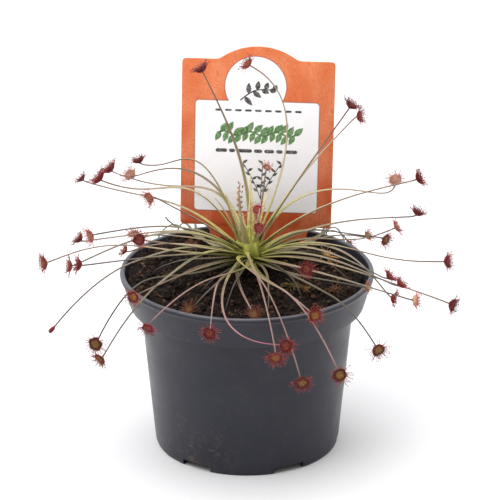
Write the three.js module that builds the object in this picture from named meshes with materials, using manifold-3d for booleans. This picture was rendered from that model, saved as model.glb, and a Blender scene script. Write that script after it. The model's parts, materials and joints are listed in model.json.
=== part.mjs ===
// A potted sundew: a rosette of long-stalked leaves, each ending in a round red trap, in a round
// nursery pot of thin plastic, with a plastic plant label standing behind the crown.
// Millimetres, +Z up. The origin is on the pot's axis, on the surface that its feet stand on.
// -Y is the front. Headings are degrees about Z: 0 is +X, 90 is the back, 270 is the front.

import * as THREE from 'three';
import { mergeVertices } from 'three/addons/utils/BufferGeometryUtils.js';
import Module from 'manifold-3d';

const wasm = await Module();
wasm.setup();

// ---------------------------------------------------------------- driving dimensions

const GAP = 0.3;                    // clearance between pieces that touch

const POT = {
  height: 65,
  rimRadius: 45,                    // outside of the lip
  lip: 1.7,                         // width of the lip
  edge: 0.6,                        // how far its edges are rounded
  collarHeight: 12,
  collarFoot: 41.7,                 // outside radius at the collar's lower edge
  bodyTop: 37.9,                    // outside radius just under the collar
  bodyFoot: 33,                     // outside radius at the surface it stands on
  wall: 1.2,
  floorUnderside: 3.2,              // the floor is raised, and the wall below it makes the feet
  sides: 48,
};
const FEET = {
  count: 6,
  notch: 20,                        // width of the notches between the feet, in degrees
  first: 57,                        // heading of the first notch
  notchHeight: 2.4,
  width: 1.2,
  inset: 0.6,                       // the flat underside starts this far inside the wall
  bevel: 0.9,
};
const DRAINS = { count: 6, radius: 3, circle: 22, middle: 4 };

const SOIL = {
  middle: 65.2,                     // top of the soil at the crown
  front: 60.5,                      // and where it meets the wall at the front,
  back: 65,                         // at the back
  right: 58.5,                      // and on the right
  reach: 42,                        // radius at which it has these heights
  bank: 1.4,                        // power that sets how it falls away from the crown
  lump: 0.8,
  level: 12,                        // the lumps grow from nothing over this radius
  sectors: 36,
  rings: [8, 13, 18, 23, 28, 33, 37],
};

const LABEL = {
  width: 55,
  bottom: 70,                       // height of the head's lower edge
  top: 131.4,                       // height of its upper corners
  archRadius: 23.1,                 // the rounded rise in the middle of the upper edge
  archCentre: 113.2,
  archFillet: 1.5,
  corner: 1.6,
  stakeWidth: 37,
  stakeShift: 1,                    // the stake is a little right of the middle
  stakeEnd: 22,
  stakeEndWidth: 10,
  stakePoint: 5,                    // length of the point under it
  stakeFillet: 1,
  thickness: 0.8,
  x: 3,
  y: 29,
  hinge: 66,                        // the height at which it stands at x and y
  turn: -3.5,                       // its right edge is turned towards the front
  lean: 6.5,                          // its top leans to the back
  roll: 0.7,                        // and a little to the right
};

const CROWN = { x: 1, y: 2, z: 69, girth: 2.5, lift: 4 };
const ROOT = { radius: 2.4, low: 57 };
const STALK = {
  baseWidth: 2.6,
  tipWidth: 0.8,
  baseThickness: 1.2,
  tipThickness: 0.6,
  steps: 8,
  peak: 0.8,                        // power that sets how early a stalk reaches its highest bow
  knee: 0.6,                        // a hanging stalk stays level for this share of its length
};
const TRAP = {
  sides: 16,
  depth: 0.42,                      // of the trap's radius
  wall: 0.65,
  reach: 1.62,                      // tips of the longest edge tentacles, of the trap's radius
};

// Grown leaves. Each row: heading and reach of the trap from the crown, its height, how far the
// stalk arches up, sways to its left and snakes, the trap's radius, and the heading and rise of the
// trap's face.
const LEAVES = [
  // back left, held high
  [155.7, 42.5, 97.4, 20, 4, 3, 2.3, 180, 70],
  [149, 49, 89.8, 10, -12, -2, 2.6, 120, 15],
  [146.6, 59.4, 88.8, 6, -12, 3, 2.9, 180, 50],
  [207, 56, 107, 11, -1, 3, 2.8, 180, 45],
  [150.6, 69.1, 84.8, 7, 1, 1, 2, 180, 50],
  [217.6, 41.4, 101.4, 1, 3, 0, 2.4, 225, -10],
  // left
  [213, 63, 91, 7, 0, 0, 2.5, 215, -5],
  [156.7, 66.2, 64.2, 5, 2, 2, 2.3, 180, 45],
  [144.7, 51.6, 64.8, 2, 2, 1, 2.3, 100, 30],
  [220, 49, 88, 1, 3, 0, 2.5, 280, 20],
  [210, 69, 79.8, 10, -1, 0, 2.4, 190, 5],
  [217, 70, 83, 3, 3, 0, 2.5, 180, 10],
  [182, 71, 68, 8, 9, -2, 2.9, 205, 0],
  [165.4, 45.1, 66.1, 4, 4, 0, 2, 170, 30],
  // front left, mostly hanging
  [205, 74, 56, 8, 2, 1, 1.1, 200, -45],
  [219, 67, 55, 1, -2, -2, 2.9, 262, 5],
  [224, 69, 52, 5, 0, 3, 2.6, 225, -20],
  [224.9, 55, 70.6, 2, 0, 0, 2.5, 250, 0],
  [231.2, 54.3, 61.8, 6, 13, -1, 2.6, 250, -35],
  [239.5, 39.2, 63.3, 2, 4, 1, 2.2, 240, 40],
  // front
  [256, 55, 64, 3, -3, -2, 2.6, 265, 0],
  [279.4, 54.1, 55.2, 9, -4, 0, 2.7, 260, -10],
  [288, 56, 46, 9, -11, -1, 2.8, 280, -10],
  [300, 60, 48.2, 4, -11, 0, 2.9, 275, 0],
  [306, 72, 60, 0, 2, 0, 2.8, 290, -10],
  [297.6, 40.8, 79.4, 0, -1, 0, 2.5, 275, 15],
  [295.9, 49.5, 65.7, 1, -5, 0, 2.6, 280, 30],
  [272, 37, 62.7, 0, -5, 2, 2.4, 260, 50],
  // right
  [327, 47, 68, 0, -5, 0, 1.8, 330, 20],
  [32.9, 49.8, 65.6, 2, -3, 0, 2, 330, 40],
  [23.5, 52, 68, 6, 0, 1, 2.6, 315, -10],
  [26.8, 58.4, 69.2, 2, -2, 2, 2.5, 0, 30],
  [23.3, 65.2, 74.2, 5, 0, 0, 2.5, 0, 65],
  [349, 58, 102, 8, -8, 0, 2.7, 0, 28],
  [328.2, 54.8, 72.5, 7, 0, 0, 2.4, 0, 45],
  [323.2, 62.3, 73.3, 5, 1, 0, 2.4, 0, 45],
  [327, 57, 67, 9, 5, -1, 2.3, 350, -10],
  [321, 70, 71.2, 2, -2, 0, 2.4, 20, -10],
  [354, 68, 70, 8, -9, 2, 2.7, 340, 10],
  [333, 76, 66, 4, -3, 1, 2.7, 330, -10],
  // upright, in front of the label
  [345.6, 35, 127.2, 1, -2, 0, 2.6, 350, 60],
  [14, 38, 118, 4, 0, 0, 2.5, 340, 10],
  [151, 18.4, 134.2, 0, -9, 0, 2.5, 170, 60],
  // behind the label, bowed round its edges
  [62, 61, 49, -1, -12, 0, 2.6, 62, -20],
  [54.5, 62, 53, -1, -8, 0, 2.6, 54, -30],
  [47, 61, 46, -1, -3, 0, 2.6, 47, -20],
  [110, 58.4, 51, -1, 9, 0, 2.6, 110, -20],
  [117.5, 61, 54, -1, 6, 0, 2.5, 118, -30],
  [125.5, 65, 47, -1, 3, 0, 2.6, 126, -20],
];

// Leaves that wander: the two handles of the stalk's curve, the trap, its radius and its face.
const WANDERERS = [
  { handles: [[-13, -38, 76], [-13, -59, 62]], trap: [12, -54, 60], radius: 2.8, face: [290, 10] },
  { handles: [[22, 3, 112], [50, 7, 82]], trap: [52.4, 8, 94.5], radius: 2.7, face: [95, 15] },
  { handles: [[14, 4, 98], [22, 7, 127]], trap: [1.3, 9, 137.5], radius: 2.5, face: [200, 40] },
];

// Young leaves in the middle: heading, reach, height, arch, sway, snake, trap radius, face.
const YOUNG = [
  [303, 4.5, 88, 0, 1, 0, 1.9, 275, 30],
  [294.7, 6.7, 82.2, 0, 0, 0, 2.2, 280, 20],
  [20, 6, 101, 0, -2, 0, 1.6, 300, 50],
];
const SHOOTS = { count: 7, circle: 2.4, low: 76, high: 84, width: 1.3 };   // unrolling buds
const OLD = { count: 10, first: 165, turn: 23, near: 24, far: 37, width: 1.1 };   // withered stalks

const COLOURS = {
  pot: ['#3a3d45', 0.45],
  soil: ['#241a14', 0.95],
  label: ['#d8602f', 0.4],
  leaf: ['#9aa354', 0.6],
  trap: ['#a8302c', 0.5],
};

// ---------------------------------------------------------------- small tools

const UP = new THREE.Vector3(0, 0, 1);

function vec(x, y, z) {
  return new THREE.Vector3(x, y, z);
}

function direction(heading, rise = 0) {
  const turn = THREE.MathUtils.degToRad(heading);
  const lift = THREE.MathUtils.degToRad(rise);
  return vec(Math.cos(lift) * Math.cos(turn), Math.cos(lift) * Math.sin(turn), Math.sin(lift));
}

// The same number from 0 to 1 for the same piece and place, so that every run is alike.
function chance(piece, place) {
  const wave = Math.sin(piece * 127.1 + place * 311.7) * 43758.5453;
  return wave - Math.floor(wave);
}

function mix(a, b, share) {
  return a + (b - a) * share;
}

function geometryOf(points, faces) {
  const geometry = new THREE.BufferGeometry();
  const numbers = points.flatMap((p) => [p.x, p.y, p.z]);
  geometry.setAttribute('position', new THREE.Float32BufferAttribute(numbers, 3));
  geometry.setIndex(faces.flat());
  return geometry;
}

function solid(geometry) {
  const bare = geometry.clone();
  bare.deleteAttribute('normal');
  bare.deleteAttribute('uv');
  const merged = mergeVertices(bare, 1e-4);
  return new wasm.Manifold(new wasm.Mesh({
    numProp: 3,
    vertProperties: new Float32Array(merged.attributes.position.array),
    triVerts: new Uint32Array(merged.index.array),
  }));
}

function geometryFromSolid(body) {
  const mesh = body.getMesh();
  const geometry = new THREE.BufferGeometry();
  geometry.setAttribute('position', new THREE.BufferAttribute(new Float32Array(mesh.vertProperties), 3));
  geometry.setIndex(Array.from(mesh.triVerts));
  return geometry;
}

// A lathe turned about +Z from [radius, height] pairs, listed anticlockwise.
function turned(profile, sides) {
  const lathe = new THREE.LatheGeometry(profile.map(([r, z]) => new THREE.Vector2(r, z)), sides);
  lathe.rotateX(Math.PI / 2);
  return lathe;
}

function cylinder(radius, low, high, sides = 16) {
  const body = new THREE.CylinderGeometry(radius, radius, high - low, sides);
  body.rotateX(Math.PI / 2);
  body.translate(0, 0, (low + high) / 2);
  return body;
}

// ---------------------------------------------------------------- pot

const shelf = POT.height - POT.collarHeight;

function bodyRadius(z) {
  return mix(POT.bodyFoot, POT.bodyTop, z / shelf);
}

function collarRadius(z) {
  return mix(POT.collarFoot, POT.rimRadius, (z - shelf) / POT.collarHeight);
}

function makePot() {
  const lipInside = POT.rimRadius - POT.lip;
  const floorTop = POT.floorUnderside + POT.wall;
  const shelfTop = shelf + POT.wall;
  let pot = solid(turned([
    [0, POT.floorUnderside],
    [bodyRadius(POT.floorUnderside) - FEET.inset - FEET.width, POT.floorUnderside],
    [bodyRadius(0) - FEET.inset - FEET.width, 0],
    [bodyRadius(0) - FEET.inset, 0],
    [bodyRadius(FEET.bevel), FEET.bevel],
    [bodyRadius(shelf), shelf],
    [POT.collarFoot - POT.edge, shelf],
    [collarRadius(shelf + POT.edge), shelf + POT.edge],
    [POT.rimRadius - POT.edge / 2, POT.height - POT.lip],
    [POT.rimRadius, POT.height - 2 * POT.edge],
    [POT.rimRadius - POT.edge / 3, POT.height - POT.edge / 3],
    [POT.rimRadius - POT.edge, POT.height],
    [lipInside, POT.height - POT.edge / 3],
    [POT.collarFoot - POT.lip, shelfTop],
    [bodyRadius(shelf) - POT.wall, shelfTop - POT.edge],
    [bodyRadius(floorTop) - POT.wall, floorTop],
    [0, floorTop],
  ], POT.sides));
  for (let i = 0; i < FEET.count; i += 1) {
    const heading = FEET.first + (i * 360) / FEET.count;
    const width = 2 * POT.bodyFoot * Math.sin(THREE.MathUtils.degToRad(FEET.notch / 2));
    const notch = new THREE.BoxGeometry(POT.bodyFoot / 3, width, 2 * FEET.notchHeight);
    notch.translate(POT.bodyFoot, 0, 0);
    notch.rotateZ(THREE.MathUtils.degToRad(heading));
    pot = pot.subtract(solid(notch));
  }
  for (let i = 0; i < DRAINS.count; i += 1) {
    const place = direction(FEET.first + (i * 360) / DRAINS.count).multiplyScalar(DRAINS.circle);
    const drill = cylinder(DRAINS.radius, 0, 2 * floorTop);
    drill.translate(place.x, place.y, 0);
    pot = pot.subtract(solid(drill));
  }
  return pot.subtract(solid(cylinder(DRAINS.middle, 0, 2 * floorTop)));
}

// ---------------------------------------------------------------- soil

// The soil's radius at a height: the pot's inside, less a gap that also clears the pot's facets.
function insideRadius(z) {
  const foot = shelf + POT.wall;
  if (z > foot) {
    const share = (z - foot) / (POT.height - foot);
    return mix(POT.collarFoot, POT.rimRadius, share) - POT.lip - 1.5 * GAP;
  }
  return bodyRadius(z) - POT.wall - 1.5 * GAP;
}

// Height of the soil: a mound round the crown, banked at the back, with lumps.
function soilHeight(x, y) {
  const r = Math.hypot(x, y);
  const share = Math.min(r / SOIL.reach, 1);
  const back = y / SOIL.reach;
  const right = x / SOIL.reach;
  let edge = mix(SOIL.front, SOIL.back, (back + 1) / 2);
  edge = mix(edge, SOIL.right, Math.max(right, 0) * (1 - Math.abs(back)));
  const lumps = Math.sin(x * 0.55 + 1) * Math.cos(y * 0.62) + 0.6 * Math.sin(x * 1.3 - y * 0.9 + 2);
  return mix(SOIL.middle, edge, share ** SOIL.bank) + SOIL.lump * lumps * Math.min(1, r / SOIL.level);
}

function makeSoil() {
  const points = [];
  const rings = [];
  const addRing = (radius, height) => {
    const ring = [];
    for (let k = 0; k < SOIL.sectors; k += 1) {
      const spoke = direction((360 * k) / SOIL.sectors);
      const r = radius(spoke);
      const z = height(spoke.x * r, spoke.y * r);
      ring.push(points.length);
      points.push(vec(spoke.x * r, spoke.y * r, z));
    }
    rings.push(ring);
  };
  const ledge = shelf + POT.wall + GAP;
  const bottom = POT.floorUnderside + POT.wall + GAP;
  SOIL.rings.forEach((r) => addRing(() => r, soilHeight));
  addRing((spoke) => {
    const height = soilHeight(spoke.x * SOIL.reach, spoke.y * SOIL.reach);
    return insideRadius(height) - GAP / 2;
  }, soilHeight);
  addRing(() => insideRadius(ledge), () => ledge);
  addRing(() => insideRadius(shelf) - GAP, () => ledge);
  addRing(() => insideRadius(bottom), () => bottom);
  const faces = [];
  for (let i = 0; i + 1 < rings.length; i += 1) {
    for (let k = 0; k < SOIL.sectors; k += 1) {
      const next = (k + 1) % SOIL.sectors;
      faces.push([rings[i][k], rings[i + 1][k], rings[i + 1][next]]);
      faces.push([rings[i][k], rings[i + 1][next], rings[i][next]]);
    }
  }
  const top = points.push(vec(0, 0, soilHeight(0, 0))) - 1;
  const under = points.push(vec(0, 0, bottom)) - 1;
  const last = rings[rings.length - 1];
  for (let k = 0; k < SOIL.sectors; k += 1) {
    const next = (k + 1) % SOIL.sectors;
    faces.push([top, rings[0][k], rings[0][next]]);
    faces.push([under, last[next], last[k]]);
  }
  const neckHole = cylinder(ROOT.radius + GAP, ROOT.low - GAP, CROWN.z, 12);
  neckHole.translate(CROWN.x, CROWN.y, 0);
  return solid(geometryOf(points, faces))
    .subtract(solid(neckHole))
    .subtract(solid(labelPlate(GAP)));
}

// ---------------------------------------------------------------- label

// The outline seen from the front, its x from the middle of the head and its y the height.
function labelOutline(grow) {
  const half = LABEL.width / 2;
  const r = LABEL.corner;
  const rise = LABEL.top - LABEL.archCentre;
  const halfArch = Math.sqrt(LABEL.archRadius ** 2 - rise ** 2);
  const archStart = Math.asin(rise / LABEL.archRadius) + LABEL.archFillet / LABEL.archRadius;
  const archFoot = LABEL.archRadius * Math.cos(archStart);
  const archLift = LABEL.archCentre + LABEL.archRadius * Math.sin(archStart);
  const stake = LABEL.stakeWidth / 2 + grow;
  const end = LABEL.stakeEndWidth / 2 + grow;
  const s = LABEL.stakeShift;
  const f = LABEL.stakeFillet;
  const outline = new THREE.Shape();
  outline.moveTo(s - end, LABEL.stakeEnd);
  outline.lineTo(s, LABEL.stakeEnd - LABEL.stakePoint - grow);
  outline.lineTo(s + end, LABEL.stakeEnd);
  outline.lineTo(s + stake, LABEL.bottom - f);
  outline.quadraticCurveTo(s + stake, LABEL.bottom, s + stake + f, LABEL.bottom);
  outline.lineTo(half - r, LABEL.bottom);
  outline.absarc(half - r, LABEL.bottom + r, r, -Math.PI / 2, 0, false);
  outline.absarc(half - r, LABEL.top - r, r, 0, Math.PI / 2, false);
  outline.lineTo(halfArch + LABEL.archFillet, LABEL.top);
  outline.quadraticCurveTo(halfArch, LABEL.top, archFoot, archLift);
  outline.absarc(0, LABEL.archCentre, LABEL.archRadius, archStart, Math.PI - archStart, false);
  outline.quadraticCurveTo(-halfArch, LABEL.top, -halfArch - LABEL.archFillet, LABEL.top);
  outline.absarc(r - half, LABEL.top - r, r, Math.PI / 2, Math.PI, false);
  outline.absarc(r - half, LABEL.bottom + r, r, Math.PI, 1.5 * Math.PI, false);
  outline.lineTo(s - stake - f, LABEL.bottom);
  outline.quadraticCurveTo(s - stake, LABEL.bottom, s - stake, LABEL.bottom - f);
  outline.lineTo(s - end, LABEL.stakeEnd);
  return outline;
}

function labelPlate(grow) {
  const depth = LABEL.thickness + 2 * grow;
  const plate = new THREE.ExtrudeGeometry(labelOutline(grow), {
    depth,
    bevelEnabled: false,
    curveSegments: 6,
  });
  plate.translate(0, 0, -depth / 2);
  plate.translate(0, -LABEL.hinge, 0);
  plate.rotateZ(THREE.MathUtils.degToRad(-LABEL.roll));
  plate.rotateX(THREE.MathUtils.degToRad(90 - LABEL.lean));
  plate.rotateZ(THREE.MathUtils.degToRad(LABEL.turn));
  plate.translate(LABEL.x, LABEL.y, LABEL.hinge);
  return plate;
}

// ---------------------------------------------------------------- leaves

// The stalk's centre line, from inside the crown to the back of the trap.
function stalkPath([heading, reach, height, arch, sway, snake]) {
  const rise = Math.max(0, Math.sin(Math.atan2(height - CROWN.z, reach)));
  const out = direction(heading);
  const side = vec(-out.y, out.x, 0);
  const girth = CROWN.girth * Math.sqrt(1 - rise * rise);
  const start = vec(CROWN.x, CROWN.y, CROWN.z + CROWN.lift * rise).addScaledVector(out, girth);
  const end = vec(CROWN.x, CROWN.y, height).addScaledVector(out, reach);
  return (t) => {
    const fall = height < CROWN.z ? Math.max(0, (t - STALK.knee) / (1 - STALK.knee)) ** 2 : t;
    const bow = Math.sin(Math.PI * t ** STALK.peak);
    const point = start.clone().lerp(end, t);
    point.z = mix(start.z, end.z, fall) + arch * bow + snake * Math.sin(2 * Math.PI * t);
    return point.addScaledVector(side, sway * bow);
  };
}

function wanderingPath({ handles, trap }) {
  const start = vec(CROWN.x, CROWN.y, CROWN.z + CROWN.lift / 2);
  const curve = new THREE.CubicBezierCurve3(start, vec(...handles[0]), vec(...handles[1]), vec(...trap));
  return (t) => curve.getPoint(t);
}

// A four-sided stalk along a path, wide and flat at its base and slender at its tip.
function stalk(path, steps, baseWidth, tipWidth) {
  const centres = Array.from({ length: steps + 1 }, (_, i) => path(i / steps));
  const points = [];
  const faces = [];
  const first = centres[1].clone().sub(centres[0]);
  const flat = vec(first.x, first.y, 0).lengthSq() > 1e-6 ? first : vec(1, 0, 0);
  let side = flat.clone().cross(UP).normalize();
  centres.forEach((centre, i) => {
    const along = centres[Math.min(i + 1, steps)].clone().sub(centres[Math.max(i - 1, 0)]).normalize();
    side = side.clone().addScaledVector(along, -side.dot(along)).normalize();
    const face = side.clone().cross(along);
    const share = (i / steps) ** 0.7;
    const w = mix(baseWidth, tipWidth, share) / 2;
    const h = mix(STALK.baseThickness, STALK.tipThickness, share) / 2;
    points.push(centre.clone().addScaledVector(side, w).addScaledVector(face, -h * 0.6));
    points.push(centre.clone().addScaledVector(side, w * 0.7).addScaledVector(face, h));
    points.push(centre.clone().addScaledVector(side, -w * 0.7).addScaledVector(face, h));
    points.push(centre.clone().addScaledVector(side, -w).addScaledVector(face, -h * 0.6));
  });
  for (let i = 0; i < steps; i += 1) {
    for (let k = 0; k < 4; k += 1) {
      const a = 4 * i + k;
      const b = 4 * i + ((k + 1) % 4);
      faces.push([a, b + 4, b]);
      faces.push([a, a + 4, b + 4]);
    }
  }
  const e = 4 * steps;
  faces.push([0, 2, 3], [0, 1, 2], [e, e + 2, e + 1], [e, e + 3, e + 2]);
  return geometryOf(points, faces);
}

function crownBody() {
  const body = turned([
    [0, ROOT.low],
    [ROOT.radius, ROOT.low + 1],
    [ROOT.radius, SOIL.middle + 1],
    [4.4, CROWN.z - 1.4],
    [4.3, CROWN.z + 1.5],
    [3.2, CROWN.z + 5],
    [1.6, CROWN.z + 8],
    [0, CROWN.z + 8.6],
  ], 12);
  body.translate(CROWN.x, CROWN.y, 0);
  return body;
}

// An unrolling bud: a slender spindle that leans out of the crown.
function shoot(i) {
  const heading = i * 137.5;
  const out = direction(heading);
  const height = mix(SHOOTS.low, SHOOTS.high, chance(i, 5));
  const foot = vec(CROWN.x, CROWN.y, CROWN.z + 3).addScaledVector(out, SHOOTS.circle * 0.5);
  const head = vec(CROWN.x, CROWN.y, height).addScaledVector(out, SHOOTS.circle * (1 + chance(i, 6)));
  return stalk((t) => foot.clone().lerp(head, t), 3, SHOOTS.width * 1.3, SHOOTS.width * 0.6);
}

// A withered stalk that lies low over the soil.
function oldStalk(i) {
  const heading = OLD.first + i * OLD.turn;
  const reach = mix(OLD.near, OLD.far, chance(i, 7));
  const end = direction(heading).multiplyScalar(reach);
  const height = soilHeight(end.x + CROWN.x, end.y + CROWN.y) + 2.4;
  const row = [heading, reach, height, 1, mix(-4, 4, chance(i, 8)), 0];
  return stalk(stalkPath(row), 5, OLD.width * 1.5, OLD.width * 0.8);
}

function leafList() {
  const rows = LEAVES.concat(YOUNG).map((row) => ({
    path: stalkPath(row),
    radius: row[6],
    face: direction(row[7], row[8]),
  }));
  const wandering = WANDERERS.map((leaf) => ({
    path: wanderingPath(leaf),
    radius: leaf.radius,
    face: direction(...leaf.face),
  }));
  return rows.concat(wandering);
}

// The crown and every stalk as one body, with no pocket sealed between crossing stalks.
function makeRosette(leaves) {
  const pieces = leaves.map(({ path }) => {
    return solid(stalk(path, STALK.steps, STALK.baseWidth, STALK.tipWidth));
  });
  for (let i = 0; i < SHOOTS.count; i += 1) {
    pieces.push(solid(shoot(i)));
  }
  for (let i = 0; i < OLD.count; i += 1) {
    pieces.push(solid(oldStalk(i)));
  }
  const grown = wasm.Manifold.union([solid(crownBody()), ...pieces]);
  return grown.decompose().reduce((a, b) => (a.volume() > b.volume() ? a : b));
}

// A trap: a shallow cup with a ring of pointed tentacles round its edge and more on its face.
function makeTrap({ path, radius, face }, number) {
  const n = TRAP.sides;
  const depth = TRAP.depth * radius;
  const points = [vec(0, 0, 0)];
  const faces = [];
  const spoke = (k, r, z) => direction((360 * k) / n).multiplyScalar(r).setZ(z);
  for (let k = 0; k < n; k += 1) {
    points.push(spoke(k, radius, depth));
    points.push(spoke(k, radius * 0.78, depth + TRAP.wall * 0.9));
  }
  const hub = points.push(vec(0, 0, depth * 0.35 + TRAP.wall)) - 1;
  for (let k = 0; k < n; k += 1) {
    const outer = 1 + 2 * k;
    const inner = outer + 1;
    const nextOuter = 1 + 2 * ((k + 1) % n);
    const nextInner = nextOuter + 1;
    const length = mix(1.25, TRAP.reach, chance(number, k));
    const lift = depth + TRAP.wall * mix(0.2, 2.2, chance(number, k + 40));
    const tip = points.push(spoke(k + 0.5, radius * length, lift)) - 1;
    faces.push([0, nextOuter, outer]);
    faces.push([outer, nextOuter, tip], [nextOuter, nextInner, tip]);
    faces.push([nextInner, inner, tip], [inner, outer, tip]);
    if (k % 2 === 0) {
      const r = radius * mix(0.4, 0.7, chance(number, k + 80));
      const height = depth + TRAP.wall * mix(1.6, 2.8, chance(number, k + 99));
      const peak = points.push(spoke(k + 0.5, r, height)) - 1;
      faces.push([inner, nextInner, peak], [nextInner, hub, peak], [hub, inner, peak]);
    } else {
      faces.push([inner, nextInner, hub]);
    }
  }
  const end = path(1);
  const along = end.clone().sub(path(0.95)).normalize();
  const slant = along.angleTo(face);
  const away = along.add(face).normalize();
  const cup = geometryOf(points, faces);
  cup.applyQuaternion(new THREE.Quaternion().setFromUnitVectors(UP, face));
  const room = GAP + (STALK.tipWidth / 2) * Math.sin(Math.min(slant, Math.PI / 2));
  const seat = end.clone().addScaledVector(away, room);
  cup.translate(seat.x, seat.y, seat.z);
  return cup;
}

// ---------------------------------------------------------------- the part

const part = new THREE.Group();

function add(name, geometry, [colour, roughness]) {
  const material = new THREE.MeshStandardMaterial({ color: colour, roughness, metalness: 0 });
  const mesh = new THREE.Mesh(geometry, material);
  mesh.name = name;
  part.add(mesh);
}

const leaves = leafList();
add('pot', geometryFromSolid(makePot()), COLOURS.pot);
add('soil', geometryFromSolid(makeSoil()), COLOURS.soil);
add('label', geometryFromSolid(solid(labelPlate(0))), COLOURS.label);
add('rosette', geometryFromSolid(makeRosette(leaves)), COLOURS.leaf);
leaves.forEach((leaf, i) => {
  add(`trap_${String(i + 1).padStart(2, '0')}`, makeTrap(leaf, i + 1), COLOURS.trap);
});

export default part;
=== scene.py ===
"""A potted sundew: a rosette of long-stalked leaves that end in round red traps, in a round nursery pot
of peat with a printed plant label behind it.

Metres, +Z up. The origin is on the pot's axis, on the surface that its feet stand on, and -Y is the front.
Sizes in the tables are millimetres, times MM where they are used.
"""

import json
import random
from math import acos, asin, atan2, cos, dist, exp, floor, hypot, pi, radians, sin, sqrt

import bpy
import numpy as np
from mathutils import Matrix, Vector, noise

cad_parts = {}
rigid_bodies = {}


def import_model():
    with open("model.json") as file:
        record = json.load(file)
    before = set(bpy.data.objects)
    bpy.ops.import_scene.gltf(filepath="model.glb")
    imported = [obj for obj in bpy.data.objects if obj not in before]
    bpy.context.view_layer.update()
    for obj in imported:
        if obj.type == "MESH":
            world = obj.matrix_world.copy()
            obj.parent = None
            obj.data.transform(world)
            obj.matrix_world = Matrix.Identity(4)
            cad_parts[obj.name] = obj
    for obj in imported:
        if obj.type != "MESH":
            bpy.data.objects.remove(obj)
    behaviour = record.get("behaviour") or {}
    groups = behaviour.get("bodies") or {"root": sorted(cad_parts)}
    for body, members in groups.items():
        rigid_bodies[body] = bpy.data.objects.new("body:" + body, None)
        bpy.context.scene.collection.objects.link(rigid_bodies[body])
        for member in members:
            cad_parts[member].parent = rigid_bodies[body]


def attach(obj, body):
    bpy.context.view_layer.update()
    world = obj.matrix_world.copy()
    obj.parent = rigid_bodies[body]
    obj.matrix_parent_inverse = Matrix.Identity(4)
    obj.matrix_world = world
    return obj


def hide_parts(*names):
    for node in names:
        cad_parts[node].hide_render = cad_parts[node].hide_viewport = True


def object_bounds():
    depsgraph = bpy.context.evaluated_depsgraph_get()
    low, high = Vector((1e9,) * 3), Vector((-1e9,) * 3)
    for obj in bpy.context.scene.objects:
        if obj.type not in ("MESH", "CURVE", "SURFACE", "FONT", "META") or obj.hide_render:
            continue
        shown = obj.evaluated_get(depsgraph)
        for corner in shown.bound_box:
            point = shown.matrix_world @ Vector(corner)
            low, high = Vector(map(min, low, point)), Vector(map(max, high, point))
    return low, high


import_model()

CAD_BOX = [list(corner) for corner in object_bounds()]
MM = 0.001
LOW, HIGH = (np.array(corner) / MM for corner in CAD_BOX)
TURN = 2 * pi


# ---------------- sizes, in mm

POT_HEIGHT = 65.0
RIM_RADIUS = 45.0
LIP = 1.7
COLLAR_FOOT = 41.7
SHELF = 53.0                # height of the collar's lower edge
BODY_TOP = 37.9
BODY_FOOT = 33.0
POT_WALL = 1.2
FLOOR_UNDERSIDE = 3.2
POT_SIDES = 144
FOOT_WIDTH = 1.8
FEET, FIRST_NOTCH, NOTCH_TURN, NOTCH_HEIGHT, NOTCH_DEPTH = 6, 57, 20, 2.4, 12.0
DRAIN_RADIUS, DRAIN_CIRCLE, MIDDLE_DRAIN, DRAIN_SIDES, DRAIN_DEPTH = 3.0, 22.0, 4.0, 32, 4.0
CRISP = 35                  # edges sharper than this many degrees stay crisp

SOIL_MIDDLE, SOIL_FRONT, SOIL_BACK, SOIL_RIGHT = 65.2, 60.5, 65.0, 58.5
SOIL_REACH, SOIL_BANK, SOIL_LUMP, SOIL_LEVEL, SOIL_GAP = 42.0, 1.4, 0.8, 12.0, 0.45
PEAT_SECTORS, PEAT_RINGS, PEAT_CROWDING, PEAT_EDGE, PEAT_CLEAR = 240, 84, 0.8, 0.15, 0.3
PEAT_WAVES = [(0.9, 0.21, 3), (0.75, 0.55, 7), (0.45, 1.4, 11)]    # height, fineness and layer of each
CRUMBS, FIBRES, FIBRE_REACH = 3400, 260, 40
CRUMB_SEED, FIBRE_SEED, TRAP_SEED, DOWN_SEED, TUFT_SEED = 41, 17, 1000, 77, 23
STAKE_SPOT, STAKE_ROOM, CROWN_ROOM = (4, 28.6), (20, 1.6), 5       # where nothing lies on the peat

LABEL_WIDTH, LABEL_BOTTOM, LABEL_TOP = 55.0, 70.0, 131.4
ARCH_RADIUS, ARCH_CENTRE, ARCH_FILLET = 23.1, 113.2, 1.5
STAKE_WIDTH, STAKE_SHIFT, STAKE_END, STAKE_END_WIDTH, STAKE_POINT = 37.0, 1.0, 22.0, 10.0, 5.0
LABEL_THICKNESS, LABEL_BEVEL, LABEL_CORNER = 0.8, 0.12, 1.6
LABEL_X, LABEL_Y, LABEL_HINGE = 3.0, 29.0, 66.0
LABEL_TURN, LABEL_LEAN, LABEL_ROLL = -3.5, 6.5, 0.7
PRINT_UNIT = 100.0          # what one unit of the label's UV map measures
INK_ROOT, INK_LIFT = 0.1, 0.02      # how deep the ink starts in the label, and how far it stands out

CROWN_X, CROWN_Y, CROWN_Z, CROWN_GIRTH, CROWN_LIFT = 1.0, 2.0, 69.0, 2.5, 4.0
STALK_PEAK, STALK_KNEE = 0.8, 0.6

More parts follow.
